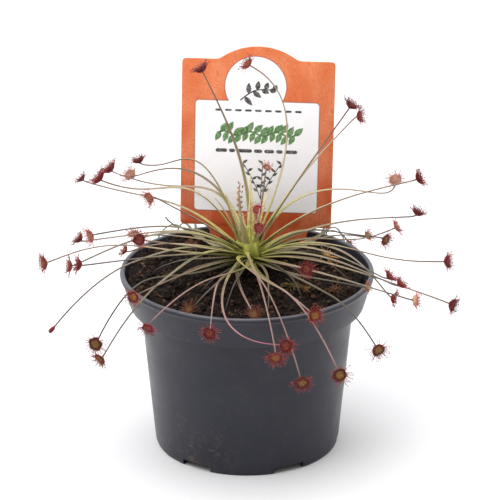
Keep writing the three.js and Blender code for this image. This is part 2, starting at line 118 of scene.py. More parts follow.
# Grown leaves: heading and reach of the trap from the crown, its height, how far the stalk arches up,
# sways to its left and snakes, the trap's radius, and the heading and rise of the trap's face.
LEAVES = [
    # back left, held high
    (155.7, 42.5, 97.4, 20, 4, 3, 2.3, 180, 70), (149, 49, 89.8, 10, -12, -2, 2.6, 120, 15),
    (146.6, 59.4, 88.8, 6, -12, 3, 2.9, 180, 50), (207, 56, 107, 11, -1, 3, 2.8, 180, 45),
    (150.6, 69.1, 84.8, 7, 1, 1, 2, 180, 50), (217.6, 41.4, 101.4, 1, 3, 0, 2.4, 225, -10),
    # left
    (213, 63, 91, 7, 0, 0, 2.5, 215, -5), (156.7, 66.2, 64.2, 5, 2, 2, 2.3, 180, 45),
    (144.7, 51.6, 64.8, 2, 2, 1, 2.3, 100, 30), (220, 49, 88, 1, 3, 0, 2.5, 280, 20),
    (210, 69, 79.8, 10, -1, 0, 2.4, 190, 5), (217, 70, 83, 3, 3, 0, 2.5, 180, 10),
    (182, 71, 68, 8, 9, -2, 2.9, 205, 0), (165.4, 45.1, 66.1, 4, 4, 0, 2, 170, 30),
    # front left, mostly hanging
    (205, 74, 56, 8, 2, 1, 1.1, 200, -45), (219, 67, 55, 1, -2, -2, 2.9, 262, 5),
    (224, 69, 52, 5, 0, 3, 2.6, 225, -20), (224.9, 55, 70.6, 2, 0, 0, 2.5, 250, 0),
    (231.2, 54.3, 61.8, 6, 13, -1, 2.6, 250, -35), (239.5, 39.2, 63.3, 2, 4, 1, 2.2, 240, 40),
    # front
    (256, 55, 64, 3, -3, -2, 2.6, 265, 0), (279.4, 54.1, 55.2, 9, -4, 0, 2.7, 260, -10),
    (288, 56, 46, 9, -11, -1, 2.8, 280, -10), (300, 60, 48.2, 4, -11, 0, 2.9, 275, 0),
    (306, 72, 60, 0, 2, 0, 2.8, 290, -10), (297.6, 40.8, 79.4, 0, -1, 0, 2.5, 275, 15),
    (295.9, 49.5, 65.7, 1, -5, 0, 2.6, 280, 30), (272, 37, 62.7, 0, -5, 2, 2.4, 260, 50),
    # right
    (327, 47, 68, 0, -5, 0, 1.8, 330, 20), (32.9, 49.8, 65.6, 2, -3, 0, 2, 330, 40),
    (23.5, 52, 68, 6, 0, 1, 2.6, 315, -10), (26.8, 58.4, 69.2, 2, -2, 2, 2.5, 0, 30),
    (23.3, 65.2, 74.2, 5, 0, 0, 2.5, 0, 65), (349, 58, 102, 8, -8, 0, 2.7, 0, 28),
    (328.2, 54.8, 72.5, 7, 0, 0, 2.4, 0, 45), (323.2, 62.3, 73.3, 5, 1, 0, 2.4, 0, 45),
    (327, 57, 67, 9, 5, -1, 2.3, 350, -10), (321, 70, 71.2, 2, -2, 0, 2.4, 20, -10),
    (354, 68, 70, 8, -9, 2, 2.7, 340, 10), (333, 76, 66, 4, -3, 1, 2.7, 330, -10),
    # upright, in front of the label
    (345.6, 35, 127.2, 1, -2, 0, 2.6, 350, 60), (14, 38, 118, 4, 0, 0, 2.5, 340, 10),
    (151, 18.4, 134.2, 0, -9, 0, 2.5, 170, 60),
    # behind the label, bowed round its edges
    (62, 61, 49, -1, -12, 0, 2.6, 62, -20), (54.5, 62, 53, -1, -8, 0, 2.6, 54, -30),
    (47, 61, 46, -1, -3, 0, 2.6, 47, -20), (110, 58.4, 51, -1, 9, 0, 2.6, 110, -20),
    (117.5, 61, 54, -1, 6, 0, 2.5, 118, -30), (125.5, 65, 47, -1, 3, 0, 2.6, 126, -20),
]
# Young leaves in the middle, in the same order.
YOUNG = [
    (303, 4.5, 88, 0, 1, 0, 1.9, 275, 30), (294.7, 6.7, 82.2, 0, 0, 0, 2.2, 280, 20),
    (20, 6, 101, 0, -2, 0, 1.6, 300, 50),
]
# Leaves that wander: two handles of the stalk's curve, the trap, its radius, and its face's heading and rise.
WANDERERS = [
    ((-13, -38, 76), (-13, -59, 62), (12, -54, 60), 2.8, 290, 10),
    ((22, 3, 112), (50, 7, 82), (52.4, 8, 94.5), 2.7, 95, 15),
    ((14, 4, 98), (22, 7, 127), (1.3, 9, 137.5), 2.5, 200, 40),
]
# Withered stalks that lie low over the soil.
OLD_COUNT, OLD_FIRST, OLD_TURN, OLD_NEAR, OLD_FAR, OLD_LIFT, OLD_SWAY = 10, 165, 23, 24, 37, 2.4, 4
# The numbers that the stalks without a trap have from, for their chances.
OLD_NUMBER, SHEATH_NUMBER, TRAIL_NUMBER = 100, 200, 230


# ---------------- small tools

def paint(code):
    """A colour code such as "#9aa354" as linear red, green and blue."""
    values = [int(code[i:i + 2], 16) / 255 for i in (1, 3, 5)]
    return np.array([v / 12.92 if v <= 0.04045 else ((v + 0.055) / 1.055) ** 2.4 for v in values])


def mix(a, b, share):
    return a + (b - a) * share


def clamp(value):
    return max(0.0, min(1.0, value))


def direction(heading, rise=0.0):
    turn, lift = radians(heading), radians(rise)
    return np.array([cos(lift) * cos(turn), cos(lift) * sin(turn), sin(lift)])


def left_of(out):
    return np.array([-out[1], out[0], 0.0])


def unit(v):
    return v / max(np.linalg.norm(v), 1e-12)


def chance(piece, place):
    """A number from 0 to 1, always the same for a piece and a place, which tells one use from another."""
    wave = sin(piece * 127.1 + place * 311.7) * 43758.5453
    return wave - floor(wave)


def across(axis):
    """A direction at right angles to an axis, of any length."""
    return np.cross(axis, (0, 0, 1) if abs(axis[2]) < 0.9 else (1, 0, 0))


def around(side, other, angle):
    return side * cos(angle) + other * sin(angle)


def skin(rings, sides):
    """The faces over rings of points, with a cap at each end."""
    faces = []
    for i in range(rings - 1):
        for k in range(sides):
            a, b = i * sides + k, i * sides + (k + 1) % sides
            faces.append((a, b, b + sides, a + sides))
    last = (rings - 1) * sides
    return faces + [tuple(range(sides))[::-1], tuple(last + k for k in range(sides))]


def stand(name, data, place=(0, 0, 0), turn=(0, 0, 0)):
    """Puts a mesh, a lamp or a viewpoint into the scene."""
    thing = bpy.data.objects.new(name, data)
    thing.location, thing.rotation_euler = place, turn
    bpy.context.collection.objects.link(thing)
    return thing


class Flesh:
    """Points, faces and colours of one foliage mesh, gathered tube by tube."""

    def __init__(self):
        self.points, self.faces, self.tints, self.kinds = [], [], [], []
        self.count = 0

    def add(self, points, faces, tints, kind=0):
        """Points in mm, faces as lists into them, one colour for all points or one for each."""
        points = np.asarray(points, float).reshape(-1, 3)
        tints = np.broadcast_to(np.asarray(tints, float), points.shape)
        self.points.append(points)
        self.tints.append(tints)
        self.faces.extend([i + self.count for i in face] for face in faces)
        self.kinds.extend([kind] * len(faces))
        self.count += len(points)

    def tube(self, centres, radii, tints, sides=3, kind=0):
        """A round tube along centres, closed at both ends."""
        centres = np.asarray(centres, float)
        side = across(unit(centres[1] - centres[0]))
        rings, colours = [], []
        tints = np.broadcast_to(np.asarray(tints, float), centres.shape)
        for i, centre in enumerate(centres):
            along = unit(centres[min(i + 1, len(centres) - 1)] - centres[max(i - 1, 0)])
            side = unit(side - along * side.dot(along))
            other = np.cross(along, side)
            for k in range(sides):
                rings.append(centre + radii[i] * around(side, other, TURN * k / sides))
                colours.append(tints[i])
        self.add(rings, skin(len(centres), sides), np.array(colours), kind)

    def bead(self, centre, axis, radius, length, tint, kind=0):
        """A small drop on two squares of points, longer along its axis."""
        axis = unit(axis)
        side = unit(across(axis))
        other = np.cross(axis, side)
        points = [centre - axis * length]
        for lift, share in ((-0.35, 0.9), (0.45, 0.85)):
            for k in range(4):
                angle = TURN * (k + (lift > 0) * 0.5) / 4
                points.append(centre + axis * length * lift + radius * share * around(side, other, angle))
        points.append(centre + axis * length)
        faces = []
        for k in range(4):
            n = (k + 1) % 4
            faces += [(0, 1 + n, 1 + k), (1 + k, 1 + n, 5 + k), (1 + n, 5 + n, 5 + k), (9, 5 + k, 5 + n)]
        self.add(points, faces, tint, kind)

    def piece(self, name, finishes, smooth=True):
        mesh = bpy.data.meshes.new(name)
        points = np.concatenate(self.points) * MM
        mesh.from_pydata(points, [], self.faces)
        tint = mesh.attributes.new("tint", "FLOAT_COLOR", "POINT")
        colours = np.concatenate([np.concatenate(self.tints), np.ones((self.count, 1))], axis=1)
        tint.data.foreach_set("color", colours.astype(np.float32).ravel())
        for finish in finishes:
            mesh.materials.append(finish)
        mesh.polygons.foreach_set("material_index", self.kinds)
        mesh.polygons.foreach_set("use_smooth", [smooth] * len(self.faces))
        mesh.update()
        return stand(name, mesh)


# ---------------- finishes

class Nodes:
    """A node tree that is wired by short calls."""

    def __init__(self, owner):
        owner.use_nodes = True
        self.tree = owner.node_tree
        self.place = self.node("ShaderNodeTexCoord").outputs["Object"]

    def node(self, kind, values=None, **settings):
        made = self.tree.nodes.new(kind)
        for key, value in settings.items():
            setattr(made, key, value)
        for socket, value in (values or {}).items():
            self.put(made.inputs[socket], value)
        return made

    def put(self, socket, value):
        if isinstance(value, bpy.types.NodeSocket):
            self.tree.links.new(value, socket)
        elif isinstance(value, np.ndarray):
            socket.default_value = (*value, 1.0)
        else:
            socket.default_value = value

    def noise(self, scale, detail=3.0, rough=0.5, vector=None, bend=0.0):
        values = {"Vector": vector or self.place, "Scale": scale, "Detail": detail, "Roughness": rough,
                  "Distortion": bend}
        return self.node("ShaderNodeTexNoise", values).outputs["Fac"]

    def cells(self, scale):
        values = {"Vector": self.place, "Scale": scale}
        return self.node("ShaderNodeTexVoronoi", values, feature="F1").outputs["Distance"]

    def span(self, value, low, high, to_low=0.0, to_high=1.0):
        values = {"Value": value, "From Min": low, "From Max": high, "To Min": to_low, "To Max": to_high}
        return self.node("ShaderNodeMapRange", values).outputs["Result"]

    def maths(self, operation, a, b=0.0):
        return self.node("ShaderNodeMath", {0: a, 1: b}, operation=operation).outputs[0]

    def vector(self, operation, a, b=(0.0, 0.0, 0.0), output="Vector"):
        return self.node("ShaderNodeVectorMath", {0: a, 1: b}, operation=operation).outputs[output]

    def mix(self, share, a, b, blend="MIX"):
        made = self.node("ShaderNodeMix", {0: share, 6: a, 7: b}, data_type="RGBA", blend_type=blend)
        return made.outputs[2]

    def mottle(self, base, code, pattern, low, high, share, blend="MIX"):
        """A colour laid over a base in patches, where a pattern goes from one value to another."""
        return self.mix(self.span(pattern, low, high, 0.0, share), base, paint(code), blend)

    def lay(self, base, code, mask, share):
        """A colour laid over a base where a mask is."""
        return self.mix(self.maths("MULTIPLY", mask, share), base, paint(code))

    def ramp(self, value, stops):
        """Colours by a value: each stop is a place and a colour code."""
        made = self.node("ShaderNodeValToRGB", {"Fac": value})
        band = made.color_ramp.elements
        while len(band) < len(stops):
            band.new(0.5)
        for spot, (place, code) in zip(band, stops):
            spot.position, spot.color = place, (*paint(code), 1.0)
        return made.outputs["Color"]

    def parts(self, vector=None):
        return self.node("ShaderNodeSeparateXYZ", {0: vector or self.place}).outputs

    def tint(self):
        return self.node("ShaderNodeAttribute", attribute_name="tint").outputs["Color"]

    def map(self, name, stretch=None):
        """The piece's own UV map, stretched or not."""
        where = self.node("ShaderNodeUVMap", uv_map=name).outputs["UV"]
        if stretch is None:
            return where
        return self.node("ShaderNodeMapping", {"Vector": where, "Scale": stretch}).outputs["Vector"]

    def bump(self, height, depth, strength=1.0, under=None):
        values = {"Height": height, "Distance": depth, "Strength": strength}
        if under is not None:
            values["Normal"] = under
        return self.node("ShaderNodeBump", values).outputs["Normal"]


class Finish(Nodes):
    """A material under way."""

    def __init__(self, name):
        self.material = bpy.data.materials.new(name)
        super().__init__(self.material)

    def done(self, **looks):
        """The material, with these values on its shader."""
        shader = self.tree.nodes["Principled BSDF"]
        for key, value in looks.items():
            self.put(shader.inputs[key.replace("_", " ").title().replace("Ior", "IOR")], value)
        return self.material


SPLASH = (-0.024, -0.034, 0.002)    # the middle of the soil marks, low on the pot's front left


def pot_plastic():
    f = Finish("pot_plastic")
    base = f.ramp(f.noise(55.0, 4.0, 0.6), [(0.3, "#1d1e29"), (0.7, "#252630")])
    grime = f.span(f.noise(260.0, 6.0, 0.65), 0.52, 0.75)
    base = f.lay(base, "#3f3b36", grime, 0.3)
    specks = f.maths("MULTIPLY", f.span(f.cells(620.0), 0.055, 0.03), f.span(f.noise(150.0, 2.0), 0.58, 0.62))
    base = f.lay(base, "#9a948a", specks, 0.8)
    near = f.span(f.vector("DISTANCE", f.place, SPLASH, "Value"), 0.024, 0.009)
    marks = f.maths("MULTIPLY", f.span(f.noise(420.0, 6.0, 0.75, bend=0.6), 0.54, 0.64), near)
    base = f.lay(base, "#5e4a35", marks, 0.75)
    # Painted highlight: a lighter grey line along the lip's top edge.
    painted_lip_highlight = f.span(f.parts()[2], 0.0642, 0.0649)
    base = f.lay(base, "#6b6a6e", painted_lip_highlight, 0.4)
    sheen = f.span(f.noise(90.0, 5.0, 0.6), 0.3, 0.7, 0.3, 0.44)
    grain = f.bump(f.noise(5200.0, 2.0), 0.00004, 0.5)
    waves = f.bump(f.noise(260.0, 3.0), 0.0003, 0.15, grain)
    return f.done(base_color=base, roughness=sheen, specular_ior_level=0.32, normal=waves)


def soil_finish(name, base_of):
    """Dull crumbly soil, its colour given by a function of the finish."""
    f = Finish(name)
    grain = f.bump(f.noise(2600.0, 5.0, 0.7), 0.0004, 0.9)
    return f.done(base_color=base_of(f), roughness=0.95, specular_ior_level=0.2, normal=grain)


def peat_colour(f):
    browns = [(0.35, "#0b0807"), (0.52, "#1c130e"), (0.68, "#33241a"), (0.8, "#604a35")]
    fine = f.ramp(f.noise(900.0, 6.0, 0.7), browns)
    return f.mottle(fine, "#1a120d", f.noise(110.0, 3.0), 0.45, 0.7, 0.55, "MULTIPLY")


def crumb_colour(f):
    return f.mottle(f.tint(), "#0d0907", f.noise(1400.0, 5.0, 0.7), 0.35, 0.7, 0.8)


def mottled(name, code, grain, low, high, share, base=None, blend="MIX", bump=None, **looks):
    """One colour in patches over a base, or over the piece's own tint. A bump follows the same grain."""
    f = Finish(name)
    pattern = f.noise(*grain)
    if bump:
        looks["normal"] = f.bump(pattern, *bump)
    under = f.tint() if base is None else paint(base)
    return f.done(base_color=f.mottle(under, code, pattern, low, high, share, blend), **looks)


def straw():
    return mottled("straw", "#1d140d", (1500.0, 4.0), 0.35, 0.7, 0.6, roughness=0.85)


def ink(name, code):
    return mottled(name, "#f0efe9", (1400.0, 3.0), 0.4, 0.7, 0.25, code, roughness=0.4)


def trap_finishes():
    """A trap's skin, its tentacles, their glands and the dew on them."""
    disc = mottled("trap_skin", "#5a1714", (2600.0, 4.0, 0.65), 0.38, 0.68, 0.55, blend="MULTIPLY",
                   bump=(0.0001, 0.5), roughness=0.5, subsurface_weight=0.1, subsurface_scale=0.0004,
                   specular_ior_level=0.22)
    tentacles = mottled("tentacle_skin", "#e0a090", (1900.0, 3.0), 0.3, 0.7, 0.16, roughness=0.4,
                        specular_ior_level=0.25)
    glands = mottled("gland_skin", "#8c1d22", (2400.0, 3.0), 0.35, 0.7, 0.5, roughness=0.18, coat_weight=0.6)
    dew = Finish("dew").done(base_color=paint("#fdf4ee"), roughness=0.02, transmission_weight=1.0, ior=1.33)
    return [disc, tentacles, glands, dew]


# The label's print, in units of its UV map: the white panel's middle, its half width and height without its round
# corners, those corners' radius, and the roundel above it.
PANEL_MIDDLE, PANEL_HALF, PANEL_CORNER = (-0.002, 0.959, 0.0), (0.209, 0.19, 9.0), 0.015
ROUNDEL_MIDDLE, ROUNDEL_RADIUS = (-0.0094, 1.217, 0.0), 0.111


def label_print():
    f = Finish("label_print")
    where = f.map("print")
    # How far a place is outside the panel, and outside the roundel: less than nothing inside.
    beyond = f.vector("SUBTRACT", f.vector("ABSOLUTE", f.vector("SUBTRACT", where, PANEL_MIDDLE)), PANEL_HALF)
    panel = f.maths("SUBTRACT", f.vector("LENGTH", f.vector("MAXIMUM", beyond), output="Value"), PANEL_CORNER)
    roundel = f.maths("SUBTRACT", f.vector("DISTANCE", where, ROUNDEL_MIDDLE, "Value"), ROUNDEL_RADIUS)
    edge = f.maths("MINIMUM", panel, roundel)
    white = f.span(edge, 0.0015, -0.0015)
    line = f.span(f.maths("ABSOLUTE", edge), 0.003, 0.0012)
    # The orange border, lighter at its top, with fine rings like a board's grain.
    orange = f.ramp(f.span(f.parts(where)[1], 0.66, 1.3), [(0.0, "#b8481f"), (0.25, "#c95a2c"), (1.0, "#d8733f")])
    grain = f.noise(6.5, 1.5, 0.4, f.map("print", (1.7, 1.0, 1.0)), 0.35)
    rings = f.maths("SINE", f.maths("MULTIPLY", grain, 230.0))
    orange = f.mottle(orange, "#e8986c", grain, 0.4, 0.62, 0.45)
    orange = f.mottle(orange, "#b5502a", rings, 0.0, 0.95, 0.4)
    orange = f.mottle(orange, "#b9502a", f.noise(60.0, 3.0, 0.6, where), 0.4, 0.7, 0.3)
    colour = f.mix(white, orange, f.mix(f.noise(300.0, 2.0), paint("#efecee"), paint("#f6f3f3")))
    card = f.bump(f.noise(700.0, 2.0), 0.00006, 0.25)
    return f.done(base_color=f.lay(colour, "#8a3a1c", line, 0.7), roughness=0.42, normal=card)


def stalk_skin():
    f = Finish("stalk_skin")
    streaks = f.noise(1.0, 4.0, 0.6, f.map("along", (6.0, 40.0, 1.0)))
    base = f.mottle(f.tint(), "#4d4527", streaks, 0.35, 0.7, 0.45, "MULTIPLY")
    base = f.mottle(base, "#7d5236", f.noise(1300.0, 4.0, 0.6), 0.56, 0.7, 0.4)
    return f.done(base_color=base, roughness=0.5, subsurface_weight=0.1, subsurface_scale=0.0006,
                  specular_ior_level=0.35, normal=f.bump(streaks, 0.0001, 0.35))


def wool():
    f = Finish("wool")
    return f.done(base_color=f.mix(f.noise(500.0), paint("#efe4d2"), paint("#d8c3a2")), roughness=0.7)


def pale_floor():
    f = Finish("pale_floor")
    return f.done(base_color=f.mix(f.noise(3.0), paint("#d1d0d2"), paint("#d4d3d4")), roughness=0.7)


# ---------------- pot

def clear_selection():
    for thing in bpy.context.view_layer.objects:
        thing.select_set(False)


def pick(*pieces):
    """Selects these pieces alone, the first of them as the active one."""
    clear_selection()
    for piece in pieces:
        piece.select_set(True)
    bpy.context.view_layer.objects.active = pieces[0]


def active():
    return bpy.context.view_layer.objects.active


def settle(piece):
    """Puts a piece's place and size into its mesh."""
    pick(piece)
    bpy.ops.object.transform_apply(location=True, rotation=True, scale=True)


def finish_edges(piece):
    pick(piece)
    bpy.ops.object.shade_smooth_by_angle(angle=radians(CRISP))


def apply(piece, kind, **settings):
    modifier = piece.modifiers.new(kind.title(), kind)
    for key, value in settings.items():
        setattr(modifier, key, value)
    pick(piece)
    bpy.ops.object.modifier_apply(modifier=modifier.name)


def open_outline():
    """Starts editing the active outline, filled with one face that is ready to raise."""
    bpy.ops.object.mode_set(mode="EDIT")
    bpy.ops.mesh.select_all(action="SELECT")
    bpy.ops.mesh.edge_face_add()


def raise_face(height):
    bpy.ops.mesh.extrude_region_move(TRANSFORM_OT_translate={"value": (0, 0, height * MM)})


def close_shell():
    """Ends the editing with every face turned outward."""
    bpy.ops.mesh.select_all(action="SELECT")
    bpy.ops.mesh.normals_make_consistent(inside=False)
    bpy.ops.object.mode_set(mode="OBJECT")


def body_radius(z):
    return mix(BODY_FOOT, BODY_TOP, z / SHELF)


def raise_rings(name, rings, sides):
    """A shell raised from a circle, ring by ring, and closed at both ends. Rings are radius and height."""
    radius, height = rings[0]
    clear_selection()
    bpy.ops.mesh.primitive_circle_add(vertices=sides, radius=radius * MM, location=(0, 0, height * MM))
    piece = active()
    piece.name = name
    settle(piece)
    open_outline()
    for new_radius, new_height in rings[1:]:
        raise_face(new_height - height)
        share = new_radius / radius
        bpy.ops.transform.resize(value=(share, share, 1), center_override=(0, 0, new_height * MM))
        radius, height = new_radius, new_height
    close_shell()
    return piece


def cut(piece, cutters):
    """Takes the cutters' shapes out of a piece."""
    for cutter in cutters:
        settle(cutter)
    pick(*cutters)
    bpy.ops.object.join()
    apply(piece, "BOOLEAN", operation="DIFFERENCE", object=cutters[0], solver="EXACT")
    bpy.data.objects.remove(cutters[0])


def make_pot():
    floor_top = FLOOR_UNDERSIDE + POT_WALL
    # Radius and height, from the feet's inner side out, up over the lip and down the inside.
    rings = [
        (body_radius(FLOOR_UNDERSIDE) - FOOT_WIDTH, FLOOR_UNDERSIDE), (BODY_FOOT - FOOT_WIDTH, 0.2),
        (BODY_FOOT - 1.6, 0), (BODY_FOOT - 0.6, 0), (BODY_FOOT - 0.2, 0.15),
        (body_radius(0.9), 0.9), (body_radius(1.3), 1.3), (body_radius(18), 18),
        (body_radius(35), 35), (body_radius(51.8), 51.8), (BODY_TOP + 0.05, 52.5), (BODY_TOP + 0.5, SHELF),
        (COLLAR_FOOT - 0.5, SHELF), (COLLAR_FOOT - 0.1, SHELF + 0.1), (COLLAR_FOOT + 0.07, SHELF + 0.5),
        (COLLAR_FOOT + 0.3, SHELF + 1.2), (44.15, 62.2), (44.4, 62.9), (44.72, 63.3), (44.95, 63.6),
        (RIM_RADIUS, 64.0), (44.92, 64.5), (44.7, 64.85), (44.3, POT_HEIGHT), (43.7, POT_HEIGHT),
        (43.42, 64.9), (43.25, 64.6), (43.15, 64.2), (40.2, 54.9), (39.9, 54.3), (39.4, 54.2),
        (37.2, 54.2), (36.8, 54.0), (36.65, 53.4), (body_radius(floor_top) - POT_WALL, floor_top),
    ]
    pot = raise_rings("pot_shell", rings, POT_SIDES)
    notches = []
    width = 2 * BODY_FOOT * sin(radians(NOTCH_TURN / 2))
    for i in range(FEET):
        heading = radians(FIRST_NOTCH + i * 360 / FEET)
        clear_selection()
        bpy.ops.mesh.primitive_cube_add(
            size=1, location=Vector((cos(heading), sin(heading), 0)) * BODY_FOOT * MM,
            rotation=(0, 0, heading), scale=(NOTCH_DEPTH * MM, width * MM, 2 * NOTCH_HEIGHT * MM))
        notches.append(active())
    cut(pot, notches)
    drains = []
    for i in range(FEET + 1):
        place = direction(FIRST_NOTCH + i * 360 / FEET) * (DRAIN_CIRCLE * MM if i < FEET else 0)
        clear_selection()
        bpy.ops.mesh.primitive_cylinder_add(
            vertices=DRAIN_SIDES, depth=DRAIN_DEPTH * MM, radius=(DRAIN_RADIUS if i < FEET else MIDDLE_DRAIN) * MM,
            location=(place[0], place[1], (FLOOR_UNDERSIDE + POT_WALL / 2) * MM))
        drains.append(active())
    cut(pot, drains)
    pot.data.materials.clear()
    pot.data.materials.append(pot_plastic())
    finish_edges(pot)
    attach(pot, "root")
    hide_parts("pot")


# ---------------- soil

def inside_radius(z):
    """How far the soil may reach at a height."""
    foot = SHELF + POT_WALL
    if z > foot:
        return mix(COLLAR_FOOT, RIM_RADIUS, (z - foot) / (POT_HEIGHT - foot)) - LIP - SOIL_GAP
    return body_radius(z) - POT_WALL - SOIL_GAP


def soil_height(x, y):
    """Height of the settled peat, before its crumbs."""
    r = hypot(x, y)
    back, right = y / SOIL_REACH, x / SOIL_REACH
    edge = mix(SOIL_FRONT, SOIL_BACK, (back + 1) / 2)
    edge = mix(edge, SOIL_RIGHT, max(right, 0) * (1 - abs(back)))
    lumps = sin(x * 0.55 + 1) * cos(y * 0.62) + 0.6 * sin(x * 1.3 - y * 0.9 + 2)
    slope = min(r / SOIL_REACH, 1) ** SOIL_BANK
    return mix(SOIL_MIDDLE, edge, slope) + SOIL_LUMP * lumps * min(1, r / SOIL_LEVEL)


def peat_height(x, y):
    """Height of the peat with its clods and crumbs."""
    z = soil_height(x, y)
    for height, fine, layer in PEAT_WAVES:
        z += height * noise.noise(Vector((x * fine, y * fine, layer)))
    return z


def make_soil():
    points, faces = [], []
    spokes = [direction(360 * k / PEAT_SECTORS) for k in range(PEAT_SECTORS)]
    rims = [inside_radius(soil_height(s[0] * SOIL_REACH, s[1] * SOIL_REACH)) - PEAT_EDGE for s in spokes]
    for i in range(1, PEAT_RINGS + 1):
        share = (i / PEAT_RINGS) ** PEAT_CROWDING
        for spoke, rim in zip(spokes, rims):
            x, y = spoke[0] * rim * share, spoke[1] * rim * share
            points.append((x, y, peat_height(x, y)))
    ledge, bottom = SHELF + POT_WALL + PEAT_CLEAR, FLOOR_UNDERSIDE + POT_WALL + PEAT_CLEAR
    for radius, z in ((inside_radius(ledge), ledge), (inside_radius(SHELF) - PEAT_CLEAR, ledge),
                      (inside_radius(bottom), bottom)):
        points += [(s[0] * radius, s[1] * radius, z) for s in spokes]
    last = len(points) - PEAT_SECTORS
    for start in range(0, last, PEAT_SECTORS):
        for k in range(PEAT_SECTORS):
            a, b = start + k, start + (k + 1) % PEAT_SECTORS
            faces.append((a, a + PEAT_SECTORS, b + PEAT_SECTORS, b))
    top, under = len(points), len(points) + 1
    points += [(0, 0, peat_height(0, 0)), (0, 0, bottom)]
    for k in range(PEAT_SECTORS):
        n = (k + 1) % PEAT_SECTORS
        faces += [(top, k, n), (under, last + n, last + k)]
    soil = Flesh()
    soil.add(points, faces, paint("#2a1d15"))
    piece = soil.piece("peat_bed", [soil_finish("peat", peat_colour)])
    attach(piece, "root")
    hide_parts("soil")


def blocked(x, y):
    """Whether the label's stake or the crown stands here."""
    by_stake = abs(x - STAKE_SPOT[0]) < STAKE_ROOM[0] and abs(y - STAKE_SPOT[1]) < STAKE_ROOM[1]
    return by_stake or hypot(x - CROWN_X, y - CROWN_Y) < CROWN_ROOM


def scatter(rng, reach):
    """A random spot on the soil: its distance from the middle, and its x and y."""
    r, angle = reach * sqrt(rng.random()), rng.random() * TURN
    return r, r * cos(angle), r * sin(angle)


# A crumb before it is bent out of shape: twelve corners and twenty sides, all alike.
GOLDEN = (1 + 5 ** 0.5) / 2
BALL = np.array([
    (-1, GOLDEN, 0), (1, GOLDEN, 0), (-1, -GOLDEN, 0), (1, -GOLDEN, 0), (0, -1, GOLDEN), (0, 1, GOLDEN),
    (0, -1, -GOLDEN), (0, 1, -GOLDEN), (GOLDEN, 0, -1), (GOLDEN, 0, 1), (-GOLDEN, 0, -1), (-GOLDEN, 0, 1)]) / 1.9
BALL_SIDES = [
    (0, 11, 5), (0, 5, 1), (0, 1, 7), (0, 7, 10), (0, 10, 11), (1, 5, 9), (5, 11, 4), (11, 10, 2), (10, 7, 6),
    (7, 1, 8), (3, 9, 4), (3, 4, 2), (3, 2, 6), (3, 6, 8), (3, 8, 9), (4, 9, 5), (2, 4, 11), (6, 2, 10),
    (8, 6, 7), (9, 8, 1)]
CRUMB_TONES = [paint(c) for c in ("#120c09", "#1a120d", "#241810", "#2e2016", "#453022", "#1a120d", "#684a32")]
FIBRE_TONES = [paint(c) for c in ("#3a2717", "#4b3421", "#5c432b", "#7a5c3a", "#241811")]


def make_crumbs():
    rng = random.Random(CRUMB_SEED)
    crumbs = Flesh()
    for _ in range(CRUMBS):
        r, x, y = scatter(rng, SOIL_REACH)
        size = 0.28 + 0.85 * rng.random() ** 2.6
        if blocked(x, y) or r + size > inside_radius(soil_height(x, y)) - 0.4:
            continue
        shape = BALL * [[1 + 0.5 * (rng.random() - 0.5)] for _ in BALL]
        shape = shape * (size * (0.7 + 0.6 * rng.random()), size * (0.6 + 0.6 * rng.random()), size * 0.75)
        spin = rng.random() * TURN
        c, s = cos(spin), sin(spin)
        shape = shape @ np.array([(c, s, 0), (-s, c, 0), (0, 0, 1)])
        tone = rng.choice(CRUMB_TONES) * rng.uniform(0.6, 1.3)
        crumbs.add(shape + (x, y, peat_height(x, y) + size * 0.25), BALL_SIDES, tone)
    piece = crumbs.piece("peat_crumbs", [soil_finish("peat_crumb", crumb_colour)], smooth=False)
    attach(piece, "root")


def make_fibres():
    rng = random.Random(FIBRE_SEED)
    fibres = Flesh()
    for _ in range(FIBRES):
        _, x, y = scatter(rng, FIBRE_REACH)
        length, heading, bend = 1.0 + 3.6 * rng.random() ** 2, rng.random() * TURN, rng.uniform(-0.6, 0.6)
        end = (x + length * cos(heading), y + length * sin(heading))
        if blocked(x, y) or blocked(*end) or hypot(*end) > FIBRE_REACH:
            continue
        tilt = rng.uniform(0.1, 0.8)
        centres = []
        for t in (0, 0.25, 0.5, 0.75, 1):
            a = heading + bend * (t - 0.5)
            px, py = x + length * t * cos(a), y + length * t * sin(a)
            centres.append((px, py, peat_height(px, py) + 0.25 + tilt * sin(pi * t)))
        thick = 0.06 + 0.1 * rng.random()
        fibres.tube(centres, [thick, thick, thick, thick * 0.8, thick * 0.4], rng.choice(FIBRE_TONES), 3)
    piece = fibres.piece("peat_fibres", [straw()])
    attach(piece, "root")


# ---------------- label

def label_frame():
    """From the label's flat drawing, x right, y up and z out of its face, to where it stands."""
    return (Matrix.Translation(Vector((LABEL_X, LABEL_Y, LABEL_HINGE)) * MM)
            @ Matrix.Rotation(radians(LABEL_TURN), 4, "Z")
            @ Matrix.Rotation(radians(90 - LABEL_LEAN), 4, "X")
            @ Matrix.Rotation(radians(-LABEL_ROLL), 4, "Z")
            @ Matrix.Translation((0, -LABEL_HINGE * MM, 0)))


def softened(before, corner, after, reach):
    """A corner rounded by a curve that starts and ends at a distance from it."""
    corner = np.array(corner, float)
    a = corner + unit(np.array(before) - corner) * reach
    b = corner + unit(np.array(after) - corner) * reach
    return [tuple(a * (1 - t) ** 2 + 2 * corner * t * (1 - t) + b * t * t) for t in np.linspace(0, 1, 7)]


